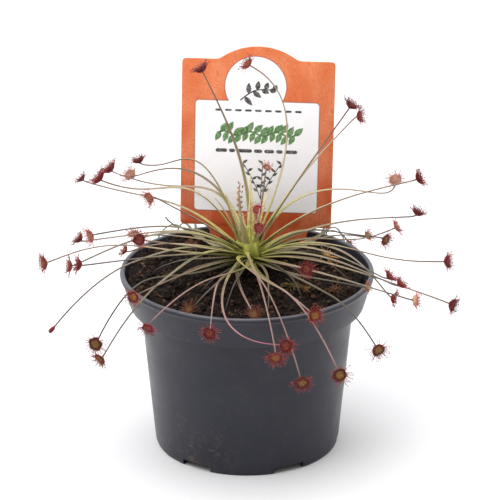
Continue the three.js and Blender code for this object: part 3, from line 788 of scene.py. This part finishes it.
def label_outline():
    """The label seen from the front, anticlockwise from the point of its stake."""
    half, low, top = LABEL_WIDTH / 2, LABEL_BOTTOM, LABEL_TOP
    stake, end, s = STAKE_WIDTH / 2, STAKE_END_WIDTH / 2, STAKE_SHIFT
    half_arch = sqrt(ARCH_RADIUS ** 2 - (top - ARCH_CENTRE) ** 2)
    first = asin((top - ARCH_CENTRE) / ARCH_RADIUS) + ARCH_FILLET / ARCH_RADIUS
    turns = np.linspace(first, pi - first, 40)
    arch = [(ARCH_RADIUS * cos(a), ARCH_CENTRE + ARCH_RADIUS * sin(a)) for a in turns]
    corners = [((s, STAKE_END - STAKE_POINT), 0.8), ((s + end, STAKE_END), 0.8), ((s + stake, low), 1.0),
               ((half, low), LABEL_CORNER), ((half, top), LABEL_CORNER), ((half_arch, top), ARCH_FILLET)]
    corners += [(spot, 0) for spot in arch]
    corners += [((-half_arch, top), ARCH_FILLET), ((-half, top), LABEL_CORNER), ((-half, low), LABEL_CORNER),
                ((s - stake, low), 1.0), ((s - end, STAKE_END), 0.8)]
    outline = []
    for i, (corner, reach) in enumerate(corners):
        before, after = corners[i - 1][0], corners[(i + 1) % len(corners)][0]
        outline += softened(before, corner, after, reach) if reach else [corner]
    spaced = [outline[0]]
    for spot in outline[1:]:
        if dist(spot, spaced[-1]) > 0.02:
            spaced.append(spot)
    return spaced


def make_label():
    outline = label_outline()
    clear_selection()
    bpy.ops.mesh.primitive_circle_add(vertices=len(outline), radius=LABEL_WIDTH / 2 * MM, location=(0, 0, 0))
    label = active()
    label.name = "label_plate"
    for vertex, (x, y) in zip(label.data.vertices, outline):
        vertex.co = Vector((x, y, -LABEL_THICKNESS / 2)) * MM
    open_outline()
    raise_face(LABEL_THICKNESS)
    close_shell()
    apply(label, "BEVEL", width=LABEL_BEVEL * MM, segments=2, limit_method="ANGLE", angle_limit=radians(60))
    mesh = label.data
    for layer in list(mesh.uv_layers):
        mesh.uv_layers.remove(layer)
    layer = mesh.uv_layers.new(name="print")
    for loop in mesh.loops:
        spot = mesh.vertices[loop.vertex_index].co
        layer.data[loop.index].uv = (spot.x / (PRINT_UNIT * MM), spot.y / (PRINT_UNIT * MM))
    mesh.transform(label_frame())
    mesh.materials.clear()
    mesh.materials.append(label_print())
    finish_edges(label)
    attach(label, "root")
    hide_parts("label")


def printed(flat, outline):
    """A printed shape: a flat outline on the label's face, in its drawing's millimetres."""
    z = LABEL_THICKNESS / 2
    n = len(outline)
    points = [(x, y, z - INK_ROOT) for x, y in outline] + [(x, y, z + INK_LIFT) for x, y in outline]
    faces = [tuple(range(n))[::-1], tuple(n + i for i in range(n))]
    faces += [(i, (i + 1) % n, n + (i + 1) % n, n + i) for i in range(n)]
    flat.add(points, faces, (0, 0, 0))


def leaf_outline(x, y, length, width, turn):
    """A pointed leaf from its foot at x, y, turned from +X in degrees."""
    c, s = cos(radians(turn)), sin(radians(turn))
    upper = [(t / 8, sin(pi * (t / 8) ** 0.8) * width / 2 / length) for t in range(9)]
    shape = upper[:-1] + [(1, 0)] + [(u, -v) for u, v in upper[7:0:-1]]
    shape = [(u * length, v * length) for u, v in shape]
    return [(x + u * c - v * s, y + u * s + v * c) for u, v in shape][::-1]


def bar_outline(x, y, length, height):
    """A bar with round ends, its middle at x, y."""
    h = height / 2
    turns = [pi * i / 5 for i in range(6)]
    right = [(x + length / 2 - h + h * sin(a), y + h * cos(a)) for a in turns]
    left = [(x - length / 2 + h - h * sin(a), y - h * cos(a)) for a in turns]
    return (right + left)[::-1]


def stem_outline(points, width):
    """A thin line through points, as one closed outline."""
    left, right = [], []
    for i, (x, y) in enumerate(points):
        a, b = points[max(i - 1, 0)], points[min(i + 1, len(points) - 1)]
        dx, dy = b[0] - a[0], b[1] - a[1]
        size = hypot(dx, dy)
        nx, ny = -dy / size * width / 2, dx / size * width / 2
        left.append((x + nx, y + ny))
        right.append((x - nx, y - ny))
    return right + left[::-1]


def make_print():
    dark, green = Flesh(), Flesh()
    # A bent twig in the roundel, its leaves turned alternately up and down.
    twig = [(-6.4 + 1.5 * t, 116.6 + 0.62 * t + 1.5 * sin(t / 2.1)) for t in range(9)]
    printed(dark, stem_outline(twig, 0.5))
    for i, (x, y) in enumerate(twig[1:]):
        printed(dark, leaf_outline(x, y, 4.4 - 0.3 * i, 1.9, (95 - 5 * i) if i % 2 else (-48 + 6 * i)))
    # A row of small dashes under it.
    for i in range(9):
        printed(dark, bar_outline(-14.2 + 3.6 * i, 112.9, 2.4, 0.8))
    # The garland: broad green leaves leaning both ways along a wavy stem.
    vine = [(-14.5 + 29 * t / 24, 104.4 + 0.8 * sin(t * 0.8)) for t in range(25)]
    printed(green, stem_outline(vine, 0.7))
    for i in range(12):
        x, y = vine[2 * i + 1]
        printed(green, leaf_outline(x, y, 4.4, 2.3, 52 + 10 * sin(i * 2.1)))
        printed(green, leaf_outline(x, y, 4.0, 2.1, -118 + 10 * sin(i * 1.7)))
    # A row of dark bars below it.
    place = -15.0
    for length in (4.2, 2.2, 5.4, 3.0, 3.6, 2.4, 4.6):
        printed(dark, bar_outline(place + length / 2, 98.0, length, 1.3))
        place += length + 0.7
    # A seedling at the panel's foot.
    for lean in (-1.1, 0.1, 1.2):
        stem = [(1.6 + lean * (0.3 * t + 0.02 * t * t) * 1.4, 80.0 + 1.5 * t) for t in range(10)]
        printed(dark, stem_outline(stem, 0.3))
        for i, (x, y) in enumerate(stem[2:]):
            printed(dark, leaf_outline(x, y, 2.2, 0.95, 35 if (i + (lean > 0)) % 2 else 145))
    for flat, name, finish in ((dark, "print_dark", ink("dark_ink", "#2e2b2c")),
                               (green, "print_green", ink("green_ink", "#4d7f38"))):
        piece = flat.piece(name, [finish], smooth=False)
        piece.data.transform(label_frame())
        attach(piece, "root")


# ---------------- leaves

CROWN = np.array([CROWN_X, CROWN_Y, 0.0])
WIDE, SLENDER = 2.5, 0.52           # a stalk's width at its foot and its tip
STALK_CROWDING, SECTION_DEPTH = 1.15, 1.4       # how a stalk's rings crowd at its foot, and its section's depth
ROUND_FROM, ROUND_OVER = 0.6, 0.35              # where along it, and over how much, its section turns round
PALE_FROM, PALE_OVER = 0.35, 0.55               # and its tip's tone takes over
SEAT_GAP, SEAT_SLANT = 0.3, 0.4     # how far a trap sits off its stalk's tip, and how much more when it is aslant
# The second green is darker: painted shade for the foot of a stalk that lies low.
LEAF_GREEN, SHADED_LEAF_GREEN = paint("#b1af5a"), paint("#747638")   # a foot that stands up, and one that lies low
# A stalk's tones: its middle, then its tip. t tan, g grey-olive, p brown, s straw, k dark,
# m mauve, y the pale green of young straps, u cream with a reddish tip.
STALK_TONES = {
    "t": (paint("#a09073"), paint("#7f6759")), "g": (paint("#8f856d"), paint("#625950")),
    "p": (paint("#6c5d44"), paint("#a6857f")), "s": (paint("#bbab8b"), paint("#8c7666")),
    "k": (paint("#6e6352"), paint("#423a34")), "m": (paint("#8d7a68"), paint("#a8687a")),
    "y": (paint("#c2b878"), paint("#d8c7a0")), "u": (paint("#c9b893"), paint("#85564b")),
}
# Each leaf's tone, in the order of the tables.
STALK_PLAN = "ttsst" "sgtts" "ggttg" "kgtpk" "ppppk" "pppgt" "gtgsg" "gggtt" "ussgg" "ggggs" "ssmss"
LOOP, LOOP_WIDTH = 52, 0.58         # the slender stalk that loops over the rim
# The stalk's section, wide and flat with a groove along its upper side.
SECTION = [(1, 0), (0.78, 0.42), (0.4, 0.3), (0, 0.12), (-0.4, 0.3), (-0.78, 0.42), (-1, 0), (-0.62, -0.42),
           (0, -0.6), (0.62, -0.42)]
# The crown's middle, where the straps' feet wrap round each other: heights and radii.
HEART = [(64.0, 3.0), (66.0, 3.8), (68.0, 4.8), (70.0, 5.6), (72.0, 5.9), (74.0, 5.4), (75.8, 4.6), (77.4, 3.5),
         (78.8, 2.2), (79.8, 0.6)]
HEART_SIDES, HEART_FOLDS, HEART_TWIST, FOLD_DEPTH, FOLD_LIFT = 60, 9, 0.22, 0.11, 1.4
HEART_LOW, HEART_HIGH = paint("#8a942c"), paint("#c4c25e")
# The young straps that stand as a cone round the middle.
SHEATHS, SHEATH_FIRST, SHEATH_TURN, SHEATH_FOOT, SHEATH_FLARE = 10, 62, 137.5, 3.0, 1.5
# A dark withered stalk that lies over the rim at the back.
TRAIL = np.array([(-6, 10, 69.5), (-16.7, 26, 69.6), (-22.7, 31, 68.2), (-26.6, 33, 68.7), (-29.0, 34, 70.4),
                  (-29.8, 34, 71.6)])


def leaf_path(heading, reach, height, arch, sway, snake):
    """The stalk's centre line, from inside the crown to the back of the trap."""
    rise = max(0.0, sin(atan2(height - CROWN_Z, reach)))
    out = direction(heading)
    side = left_of(out)
    girth = CROWN_GIRTH * sqrt(1 - rise * rise)
    start = CROWN + (0, 0, CROWN_Z + CROWN_LIFT * rise) + out * girth
    end = CROWN + (0, 0, height) + out * reach

    def path(t):
        fall = max(0.0, (t - STALK_KNEE) / (1 - STALK_KNEE)) ** 2 if height < CROWN_Z else t
        bow = sin(pi * t ** STALK_PEAK)
        point = mix(start, end, t)
        point[2] = mix(start[2], end[2], fall) + arch * bow + snake * sin(TURN * t)
        return point + side * (sway * bow)

    return path


def wandering_path(first, second, trap):
    """A stalk's centre line as a curve with two handles."""
    a = CROWN + (0, 0, CROWN_Z + CROWN_LIFT / 2)
    b, c, d = (np.array(p, float) for p in (first, second, trap))
    return lambda t: a * (1 - t) ** 3 + 3 * b * t * (1 - t) ** 2 + 3 * c * t * t * (1 - t) + d * t ** 3


def leaf_list():
    """Each leaf's path, its trap's radius and the direction of the trap's face."""
    leaves = [(leaf_path(*row[:6]), row[6], direction(*row[7:])) for row in LEAVES + YOUNG]
    return leaves + [(wandering_path(*row[:3]), row[3], direction(*row[4:])) for row in WANDERERS]


def seat(path, face):
    """Where a trap's back sits: a little beyond the stalk's tip."""
    end = path(1)
    along = unit(end - path(0.95))
    slant = acos(max(-1.0, min(1.0, along.dot(face))))
    return end + unit(along + face) * (SEAT_GAP + SEAT_SLANT * sin(min(slant, pi / 2)))


def add_stalk(rosette, path, number, tip, width=1.0, steps=40, foot=1.0, strength=1.0, wide=WIDE,
              slender=SLENDER, tone=None, taper=0.62, under=0.45):
    """One stalk: a broad grooved strap at its foot, slender and round at its tip.

    number picks its tone and its chances, foot is how much it flares there, strength how bright it is, taper how
    soon it narrows, and under how much painted shade its lower side gets. It gives back where each point lies
    along the stalk.
    """
    shares = [(i / steps) ** STALK_CROWDING for i in range(steps + 1)]
    centres = [path(t) for t in shares]
    if tip is not None:
        centres[-1] = tip
    first = unit(centres[1] - centres[0])
    side = unit(np.cross(first, (0, 0, 1))) if abs(first[2]) < 0.999 else np.array([1.0, 0, 0])
    points, tints, alongs = [], [], []
    tone = tone or STALK_PLAN[number % len(STALK_PLAN)]
    middle, end = STALK_TONES[tone]
    upright = clamp(first[2] * 1.4)
    turn_green = mix(0.05, 0.2, chance(number, 301)) + {"p": 0.24, "m": 0.08}.get(tone, 0.12 * upright)
    # Stalks that lie low get painted shade: a tone up to a sixth darker, and the darker green at the foot.
    dim = mix(0.8, 1.12, chance(number, 302)) * strength * mix(0.84, 1.0, upright)
    fresh = mix(SHADED_LEAF_GREEN, LEAF_GREEN, upright)
    for i, (t, centre) in enumerate(zip(shares, centres)):
        along = unit(centres[min(i + 1, steps)] - centres[max(i - 1, 0)])
        side = unit(side - along * side.dot(along))
        face = np.cross(side, along)
        broad = mix(wide, slender, min(1, t / 0.95) ** taper) * width / 2
        broad *= 1 + 0.5 * foot * exp(-((t / 0.1) ** 2))
        deep = min(mix(0.95, 0.52, t ** 0.7) / 2, broad * 1.4)
        roundness = clamp((t - ROUND_FROM) / ROUND_OVER)
        flat = 1 - roundness
        green = 1 / (1 + exp((t - turn_green) * 14))
        base = mix(mix(middle, end, clamp((t - PALE_FROM) / PALE_OVER)), fresh, green) * dim
        for k, (u, v) in enumerate(SECTION):
            angle = TURN * k / len(SECTION)
            u, v = mix(u, cos(angle), roundness), mix(v * SECTION_DEPTH, sin(angle), roundness)
            points.append(centre + side * (u * broad) + face * (v * deep))
            # Painted light: a painted highlight on its edges, painted shade in its groove and on its lower side.
            lit = 1.0 + 0.3 * (abs(u) > 0.7) * flat
            lit = lit - 0.4 * (abs(u) < 0.1) * (v > 0) * flat - under * (v < 0) * flat
            tints.append(base * lit)
            alongs.append((t, k / len(SECTION)))
    rosette.add(points, skin(steps + 1, len(SECTION)), np.array(tints))
    return alongs


def sheath_path(i):
    """A young strap's centre line, in the cone round the middle."""
    out = direction(i * SHEATH_TURN + SHEATH_FIRST)
    side = left_of(out)
    lean, length, curl = mix(0.12, 0.4, chance(i, 61)), mix(17, 27, chance(i, 62)), mix(-2.5, 2.5, chance(i, 63))
    start = CROWN + (0, 0, CROWN_Z) + out * SHEATH_FOOT

    def path(t):
        outward = out * (length * lean * t * t + SHEATH_FLARE * t)
        return start + np.array([0, 0, length * t]) + outward + side * (curl * t * t)

    return path


def trail_path(t):
    """The withered stalk's centre line, straight from spot to spot."""
    place = t * (len(TRAIL) - 1)
    i = min(int(place), len(TRAIL) - 2)
    return mix(TRAIL[i], TRAIL[i + 1], place - i)


def add_heart(rosette):
    """The fleshy green middle, ridged where the straps' feet overlap."""
    points, tints, alongs = [], [], []
    top = len(HEART) - 1
    for i, (z, radius) in enumerate(HEART):
        for k in range(HEART_SIDES):
            angle = TURN * k / HEART_SIDES
            turn = angle * HEART_FOLDS + HEART_TWIST * (z - HEART[0][0])
            fold = (turn / TURN) % 1
            r = radius * (0.9 + FOLD_DEPTH * fold)
            # Painted light: each fold lighter towards one edge, and painted shade on the lowest rings.
            lit = mix(0.7, 1.15, fold) * mix(0.35, 1.05, min(1, i / 6))
            lift = FOLD_LIFT * sin(turn) * (i / top) ** 2
            points.append(CROWN + (r * cos(angle), r * sin(angle), z + lift))
            tints.append(mix(HEART_LOW, HEART_HIGH, i / top) * lit)
            alongs.append((0.02 * i, 0.05 * (k % 20)))
    rosette.add(points, skin(len(HEART), HEART_SIDES), np.array(tints))
    return alongs


def make_rosette(leaves):
    rosette = Flesh()
    alongs = []
    for number, (path, _, face) in enumerate(leaves):
        width = LOOP_WIDTH if number == LOOP else mix(0.74, 1.06, chance(number, 300))
        alongs += add_stalk(rosette, path, number, seat(path, face) + face * 0.05, width)
    alongs += add_heart(rosette)
    for i in range(SHEATHS):
        width = mix(0.95, 1.2, chance(i, 64))
        alongs += add_stalk(rosette, sheath_path(i), SHEATH_NUMBER + i, None, width, 20, foot=0.2, wide=4.1,
                            slender=0.22, tone="y", taper=1.0, under=0.1)
    alongs += add_stalk(rosette, trail_path, TRAIL_NUMBER, None, 0.7, 26, foot=0, wide=1.1, slender=0.7, tone="k")
    for i in range(OLD_COUNT):
        heading = OLD_FIRST + i * OLD_TURN
        reach = mix(OLD_NEAR, OLD_FAR, chance(i, 7))
        end = direction(heading) * reach
        height = soil_height(end[0] + CROWN_X, end[1] + CROWN_Y) + OLD_LIFT
        path = leaf_path(heading, reach, height, 1, mix(-OLD_SWAY, OLD_SWAY, chance(i, 8)), 0)
        alongs += add_stalk(rosette, path, OLD_NUMBER + i, None, 0.7, 24, strength=0.6, tone="kgt"[i % 3])
    piece = rosette.piece("rosette_stalks", [stalk_skin()])
    layer = piece.data.uv_layers.new(name="along")
    spots = np.zeros(len(piece.data.loops), int)
    piece.data.loops.foreach_get("vertex_index", spots)
    layer.data.foreach_set("uv", np.array(alongs, np.float32)[spots].ravel())
    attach(piece, "root")
    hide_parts("rosette")


# ---------------- traps

# A kind of trap: its face's middle and edge, its back, its tentacles and its glands.
KINDS = {
    "f": ("#c39c58", "#560f10", "#8f5038", "#8c1b1a", "#5a0a0e"),
    "c": ("#8e3830", "#52090f", "#741a20", "#82171d", "#3f060b"),
    "p": ("#d6b286", "#a8584a", "#d0a088", "#bb5c56", "#8e2a2a"),
    "o": ("#c28a4c", "#7a1f18", "#b06a48", "#a02c24", "#701415"),
    "d": ("#9a7038", "#6e3a1c", "#8a5a34", "#7d4526", "#4a1e12"),
    "r": ("#b0604a", "#66090f", "#8e2c2a", "#98161d", "#56060d"),
    "w": ("#c0665a", "#a23a3e", "#bd7862", "#c4747a", "#9a2832"),
    "y": ("#d4c284", "#a8894f", "#cfb884", "#b8735a", "#8e342c"),
}
# Each trap's kind, in the order of the tables.
TRAP_KINDS = "cprrc" "ppcpr" "orooc" "fford" "rofff" "rodyy" "fpccr" "rrprc" "crcff" "ffffw" "wprpo"
CLOSED, FOLDED = 14, 14             # the trap that is still shut, and how many tentacles it has
DISC_SIDES, DISC_SHARE = 24, 0.8    # points round a trap's disc, and its share of the radius in the tables
FIT_MARGIN = 0.3                    # how far the tentacles keep inside the model's box
# Tentacles at the edge: the fewest, and how many a millimetre of radius adds. Those on the face go by its
# square, and each stands SPREAD radians on from the last, so that they lie evenly.
FRINGE_LEAST, FRINGE, CROWD, SPREAD = 16, 17, 10, 2.399963


def fits(points):
    """Whether these points keep inside the model's box."""
    points = np.array(points)
    return bool(np.all(points > LOW + FIT_MARGIN) and np.all(points < HIGH - FIT_MARGIN))


def add_tentacle(flesh, root, aim, length, curl, thick, tones, drop):
    """A tentacle that bends towards the face and ends in a gland."""
    while length > 0.2:
        centres = [root + aim * length * t + curl * (length * t * t) for t in (0.0, 0.35, 0.7, 1.0)]
        if fits(centres):
            break
        length *= 0.85
    low, hair, gland = tones
    flesh.tube(centres, [thick, thick * 0.72, thick * 0.55, thick * 0.5], [low, hair, hair, gland], 3, 1)
    flesh.bead(centres[-1], centres[-1] - centres[-2], thick * 1.4, thick * 1.8, gland, 2)
    if drop:
        flesh.bead(centres[-1], centres[-1] - centres[-2], thick * 1.8, thick * 2.2, (1, 1, 1), 3)


def add_trap(flesh, number, radius, back, face, kind):
    """A shallow cup crowded with tentacles, its back at a point and its face along a direction."""
    rng = random.Random(TRAP_SEED + number)
    middle, edge, rear, hair, gland = (paint(code) * mix(0.9, 1.12, rng.random()) for code in KINDS[kind])
    side = unit(across(face))
    other = np.cross(face, side)
    disc = DISC_SHARE * radius
    deep = disc * (rng.uniform(1.15, 1.5) if kind in "cr" else rng.uniform(0.85, 1.15))
    wave = [(rng.uniform(0.02, 0.07), rng.randint(2, 5), rng.random() * TURN) for _ in range(3)]

    def place(angle, r, z):
        return back + face * z + around(side, other, angle) * r

    def wobble(angle):
        return 1 + sum(a * sin(n * angle + p) for a, n, p in wave)

    # Out along the back, over the rim, and in across the face.
    profile = [(0.18, 0.03, rear), (0.42, 0.1, rear), (0.72, 0.24, mix(rear, edge, 0.25)),
               (0.94, 0.42, mix(rear, edge, 0.6)), (1.0, 0.52, edge), (0.95, 0.58, edge), (0.8, 0.58, edge * 0.8),
               (0.62, 0.52, mix(edge, middle, 0.35)), (0.42, 0.47, middle), (0.2, 0.46, middle * 0.85)]
    points, tints, faces = [back], [rear], []
    for r, z, tint in profile:
        for k in range(DISC_SIDES):
            angle = TURN * k / DISC_SIDES
            w = wobble(angle) if r > 0.3 else 1
            lump = 0.05 * sin(k * 2.4 + r * 9) * (r > 0.3)
            points.append(place(angle, r * disc * w, z * deep * (2 - w) + lump))
            tints.append(tint * mix(0.75, 1.15, rng.random()))
    points.append(place(0, 0, 0.45 * deep))
    tints.append(middle)
    last = 1 + (len(profile) - 1) * DISC_SIDES
    for k in range(DISC_SIDES):
        m = (k + 1) % DISC_SIDES
        faces.append((0, 1 + m, 1 + k))
        for start in range(1, last, DISC_SIDES):
            a, b = start + k, start + m
            faces.append((a, b, b + DISC_SIDES, a + DISC_SIDES))
        faces.append((last + k, last + m, len(points) - 1))
    flesh.add(points, faces, np.array(tints), 0)

    fringe = max(FRINGE_LEAST, int(FRINGE * radius))
    for k in range(fringe):
        angle = TURN * (k + rng.uniform(-0.35, 0.35)) / fringe
        rise = radians(rng.uniform(-12, 72))
        length = radius * rng.uniform(0.42, 0.85) * (1.1 - 0.25 * rise)
        root = place(angle, 0.93 * disc * wobble(angle), 0.55 * deep)
        out = unit(place(angle, 1, 0) - back)
        swing = around(side, other, angle + pi / 2)
        aim = unit(out * cos(rise) + face * sin(rise) + swing * rng.uniform(-0.25, 0.25))
        add_tentacle(flesh, root, aim, length, face * rng.uniform(-0.1, 0.35), rng.uniform(0.095, 0.13),
                     (edge, hair * rng.uniform(0.85, 1.2), gland), rng.random() < 0.1)
    crowd = int(CROWD * radius * radius)
    for k in range(crowd):
        share = sqrt((k + 0.5) / crowd)
        angle = k * SPREAD
        root = place(angle, 0.92 * disc * share, mix(0.46, 0.57, share ** 2) * deep)
        out = unit(place(angle, 1, 0) - back)
        length = mix(0.5, 1.15, share) * rng.uniform(0.7, 1.25) * radius / 2.6
        aim = unit(face + out * (0.1 + 0.6 * share * rng.random()) + side * rng.uniform(-0.2, 0.2))
        bare = min(1, share * 1.6 - 0.25)
        tones = (mix(middle, edge, share), mix(middle, hair, max(0, bare)),
                 mix(middle * 0.8, gland, max(0.1, bare)))
        add_tentacle(flesh, root, aim, length, face * 0.05, rng.uniform(0.08, 0.11), tones, False)


def add_closed_trap(flesh, radius, back, face):
    """A young trap still shut: a smooth dark bud with its tentacles folded in."""
    dark, red = paint("#5e1418"), paint("#8c2a28")
    steps = 9
    shares = [i / steps for i in range(steps + 1)]
    centres = [back + face * (radius * 2.6 * i / steps) for i in range(steps + 1)]
    widths = [radius * 0.68 * sin(pi * min(0.97, 0.1 + 0.87 * i / steps)) ** 0.7 for i in range(steps + 1)]
    flesh.tube(centres, widths, [mix(red, dark, t) for t in shares], 12)
    side = unit(across(face))
    for k in range(FOLDED):
        out = around(side, np.cross(face, side), TURN * k / FOLDED)
        root = centres[5] + out * widths[5] * 0.9
        add_tentacle(flesh, root, unit(face + out * 0.4), radius * 0.9, -out * 0.3, 0.09, (dark, red, dark), False)


def make_traps(leaves):
    finishes = trap_finishes()
    for i, (path, radius, face) in enumerate(leaves):
        flesh = Flesh()
        if i == CLOSED:
            add_closed_trap(flesh, radius, seat(path, face), face)
        else:
            add_trap(flesh, i, radius, seat(path, face), face, TRAP_KINDS[i])
        piece = flesh.piece(f"sundew_trap_{i + 1:02d}", finishes)
        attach(piece, "root")
        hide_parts(f"trap_{i + 1:02d}")


# ---------------- crown and litter

def add_wisp(flesh, root, aim, length, bend, thick, tint, kind=0, count=4):
    """A thin curved hair or scrap, tapering over a count of rings."""
    centres = [root + aim * length * t + bend * (length * t * t) for t in np.linspace(0, 1, count)]
    flesh.tube(centres, [thick * mix(1, 0.45, i / (count - 1)) for i in range(count)], tint, 3, kind)


# The young flower stalk: its centre line, radii and colours, foot first.
STEM = np.array([(-1.2, 1.0, 72), (-1.8, 0.5, 80), (-2.4, 0.2, 88), (-3.0, 0.6, 94), (-2.4, 1.2, 97)])
STEM_RADII = [0.7, 0.55, 0.45, 0.38, 0.25]
STEM_TONES = [paint(code) for code in ("#b3ab62", "#b9a878", "#bd9f80", "#c0a088", "#b08a70")]
BUDS, BUD_TURN, BUD_SPREAD = 15, 2.2, 0.9


def make_crown_down():
    """A short young flower stalk with brown buds, and pale hairs on it and in the middle of the rosette."""
    rng = random.Random(DOWN_SEED)
    down = Flesh()
    pale, brown, fawn = paint("#e9d6c0"), paint("#7a4a2c"), paint("#c9a890")
    down.tube(STEM, STEM_RADII, STEM_TONES, 8)
    for i in range(BUDS):
        swirl = np.array([sin(i * BUD_TURN), cos(i * BUD_TURN), 0.0])
        spot = mix(STEM[2], STEM[4], i / (BUDS - 1)) + BUD_SPREAD * swirl
        down.bead(spot, swirl * 0.5 + (0, 0, 1), 0.3, 0.62, mix(brown, fawn, rng.random()))
    tufts = [(mix(STEM[0], STEM[3], t), 9) for t in np.linspace(0.2, 1, 10)]
    tufts += [(CROWN + (rng.uniform(-3, 3), rng.uniform(-2, 2), 74 + 6 * rng.random()), 5) for _ in range(7)]
    tufts += [(CROWN + (3.2, -3.0, z), 5) for z in (80, 84, 88, 91)]
    for spot, count in tufts:
        for _ in range(count):
            aim = unit(np.array([rng.uniform(-1, 1), rng.uniform(-1, 0.6), rng.uniform(-0.4, 1)]))
            bend = np.array([rng.uniform(-0.6, 0.6) for _ in range(3)])
            add_wisp(down, spot, aim, rng.uniform(1.2, 2.8), bend, 0.06, pale * rng.uniform(0.85, 1.05), 1)
    piece = down.piece("crown_down", [straw(), wool()])
    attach(piece, "root")


# Withered traps and leaf scraps on the peat: place, size and colour.
TUFTS = [
    (29.0, 13.5, 3.2, "#d8a862"), (30.5, 9.5, 2.0, "#a8763f"), (16.5, -14.5, 2.9, "#8f7f45"),
    (20.5, -15.5, 2.2, "#9c7440"), (12.5, -13.5, 1.8, "#6d5a34"), (-19.5, 23.0, 2.2, "#7a452c"),
    (30.5, -14.5, 2.4, "#84583a"), (-9.0, -22.0, 1.6, "#4c3323"), (-28.0, -6.0, 1.7, "#55402a"),
    (-31.5, 12.0, 1.8, "#4f3a28"), (6.0, -30.0, 1.5, "#5a4028"), (24.0, 26.0, 1.9, "#6b4a2e"),
]
TUFT_HAIRS, TUFT_GRAINS = 16, 5     # by the millimetre of a tuft's size


def make_tufts():
    rng = random.Random(TUFT_SEED)
    tufts = Flesh()
    for x, y, size, code in TUFTS:
        tone = paint(code)
        spot = np.array([x, y, peat_height(x, y) + size * 0.4])
        for _ in range(int(TUFT_HAIRS * size)):
            turn, rise = rng.random() * TURN, rng.uniform(-0.15, 1.0)
            aim = unit(np.array([cos(turn), sin(turn), rise]))
            bend = np.array([rng.uniform(-0.9, 0.9), rng.uniform(-0.9, 0.9), rng.uniform(-0.8, 0.3)])
            add_wisp(tufts, spot + aim * size * 0.15, aim, size * rng.uniform(0.5, 1.0), bend,
                     rng.uniform(0.1, 0.24), tone * rng.uniform(0.55, 1.35), 0, 5)
        for _ in range(int(TUFT_GRAINS * size)):
            turn = rng.random() * TURN
            aim = unit(np.array([cos(turn), sin(turn), rng.uniform(0, 1)]))
            tufts.bead(spot + aim * size * rng.uniform(0.2, 0.6), aim, size * 0.14, size * 0.24,
                       tone * rng.uniform(0.5, 1.1))
    piece = tufts.piece("withered_tufts", [straw()])
    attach(piece, "root")


# ---------------- stage, in metres

FLOOR_SIZE, FLOOR_PLACE = 6, (0, 1, 0)
SKY_LIGHT_FROM, SKY_FADE, SKY_DARKEST, SKY_BRIGHTEST = (-0.62, 0.72, 0.3), 0.9, 0.3, 1.22
LAMPS = [("key", (-0.55, -0.3, 0.85), 0.7, 5.2), ("fill", (0.8, -0.1, 0.6), 0.6, 1.1),
         ("top", (0.0, 0.1, 1.1), 1.3, 16.0)]                       # name, place, size and watts
LIT_SPOT = Vector((0, 0, 0.06))
VIEW_TILT, VIEW_DISTANCE = 22, 0.885        # degrees above the horizon, and how far the rim's middle is
FOCAL, FRAME_SIDE, SENSOR = 2500.0, 500, 36
RIM_AT = (247.0, 269.3)                     # where the rim's middle comes in the frame


def make_stage():
    clear_selection()
    bpy.ops.mesh.primitive_plane_add(size=FLOOR_SIZE, location=FLOOR_PLACE)
    floor = active()
    floor.name = "floor"
    settle(floor)
    floor.data.materials.append(pale_floor())

    world = bpy.data.worlds.new("studio")
    sky = Nodes(world)
    toward = sky.vector("DOT_PRODUCT", sky.place.node.outputs["Generated"], SKY_LIGHT_FROM, "Value")
    background = sky.tree.nodes["Background"].inputs
    sky.put(background["Strength"], sky.span(toward, -SKY_FADE, SKY_FADE, SKY_DARKEST, SKY_BRIGHTEST))
    background["Color"].default_value = (1, 1, 1, 1)
    bpy.context.scene.world = world
    bpy.context.scene.view_settings.view_transform = "Standard"

    for name, place, size, power in LAMPS:
        light = bpy.data.lights.new(name, "AREA")
        light.size = size
        light.energy = power
        stand(name, light, place, (LIT_SPOT - Vector(place)).to_track_quat("-Z", "Y").to_euler())


def make_camera():
    """The viewpoint, aimed past the middle of the pot's rim."""
    tilt = radians(VIEW_TILT)
    ahead = Vector((0, cos(tilt), -sin(tilt)))
    up = Vector((0, sin(tilt), cos(tilt)))
    spot = Vector((0, 0, POT_HEIGHT * MM)) - VIEW_DISTANCE * ahead
    spot -= Vector((1, 0, 0)) * (RIM_AT[0] - FRAME_SIDE / 2) * VIEW_DISTANCE / FOCAL
    spot += up * (RIM_AT[1] - FRAME_SIDE / 2) * VIEW_DISTANCE / FOCAL
    camera = bpy.data.cameras.new("viewpoint")
    camera.sensor_width = SENSOR
    camera.lens = SENSOR * FOCAL / FRAME_SIDE
    camera.clip_start, camera.clip_end = 0.01, 20
    bpy.context.scene.camera = stand("viewpoint", camera, spot, (pi / 2 - tilt, 0, 0))


make_camera()
make_stage()
make_pot()
make_soil()
make_crumbs()
make_fibres()
make_label()
make_print()
leaves = leaf_list()
make_rosette(leaves)
make_traps(leaves)
make_crown_down()
make_tufts()
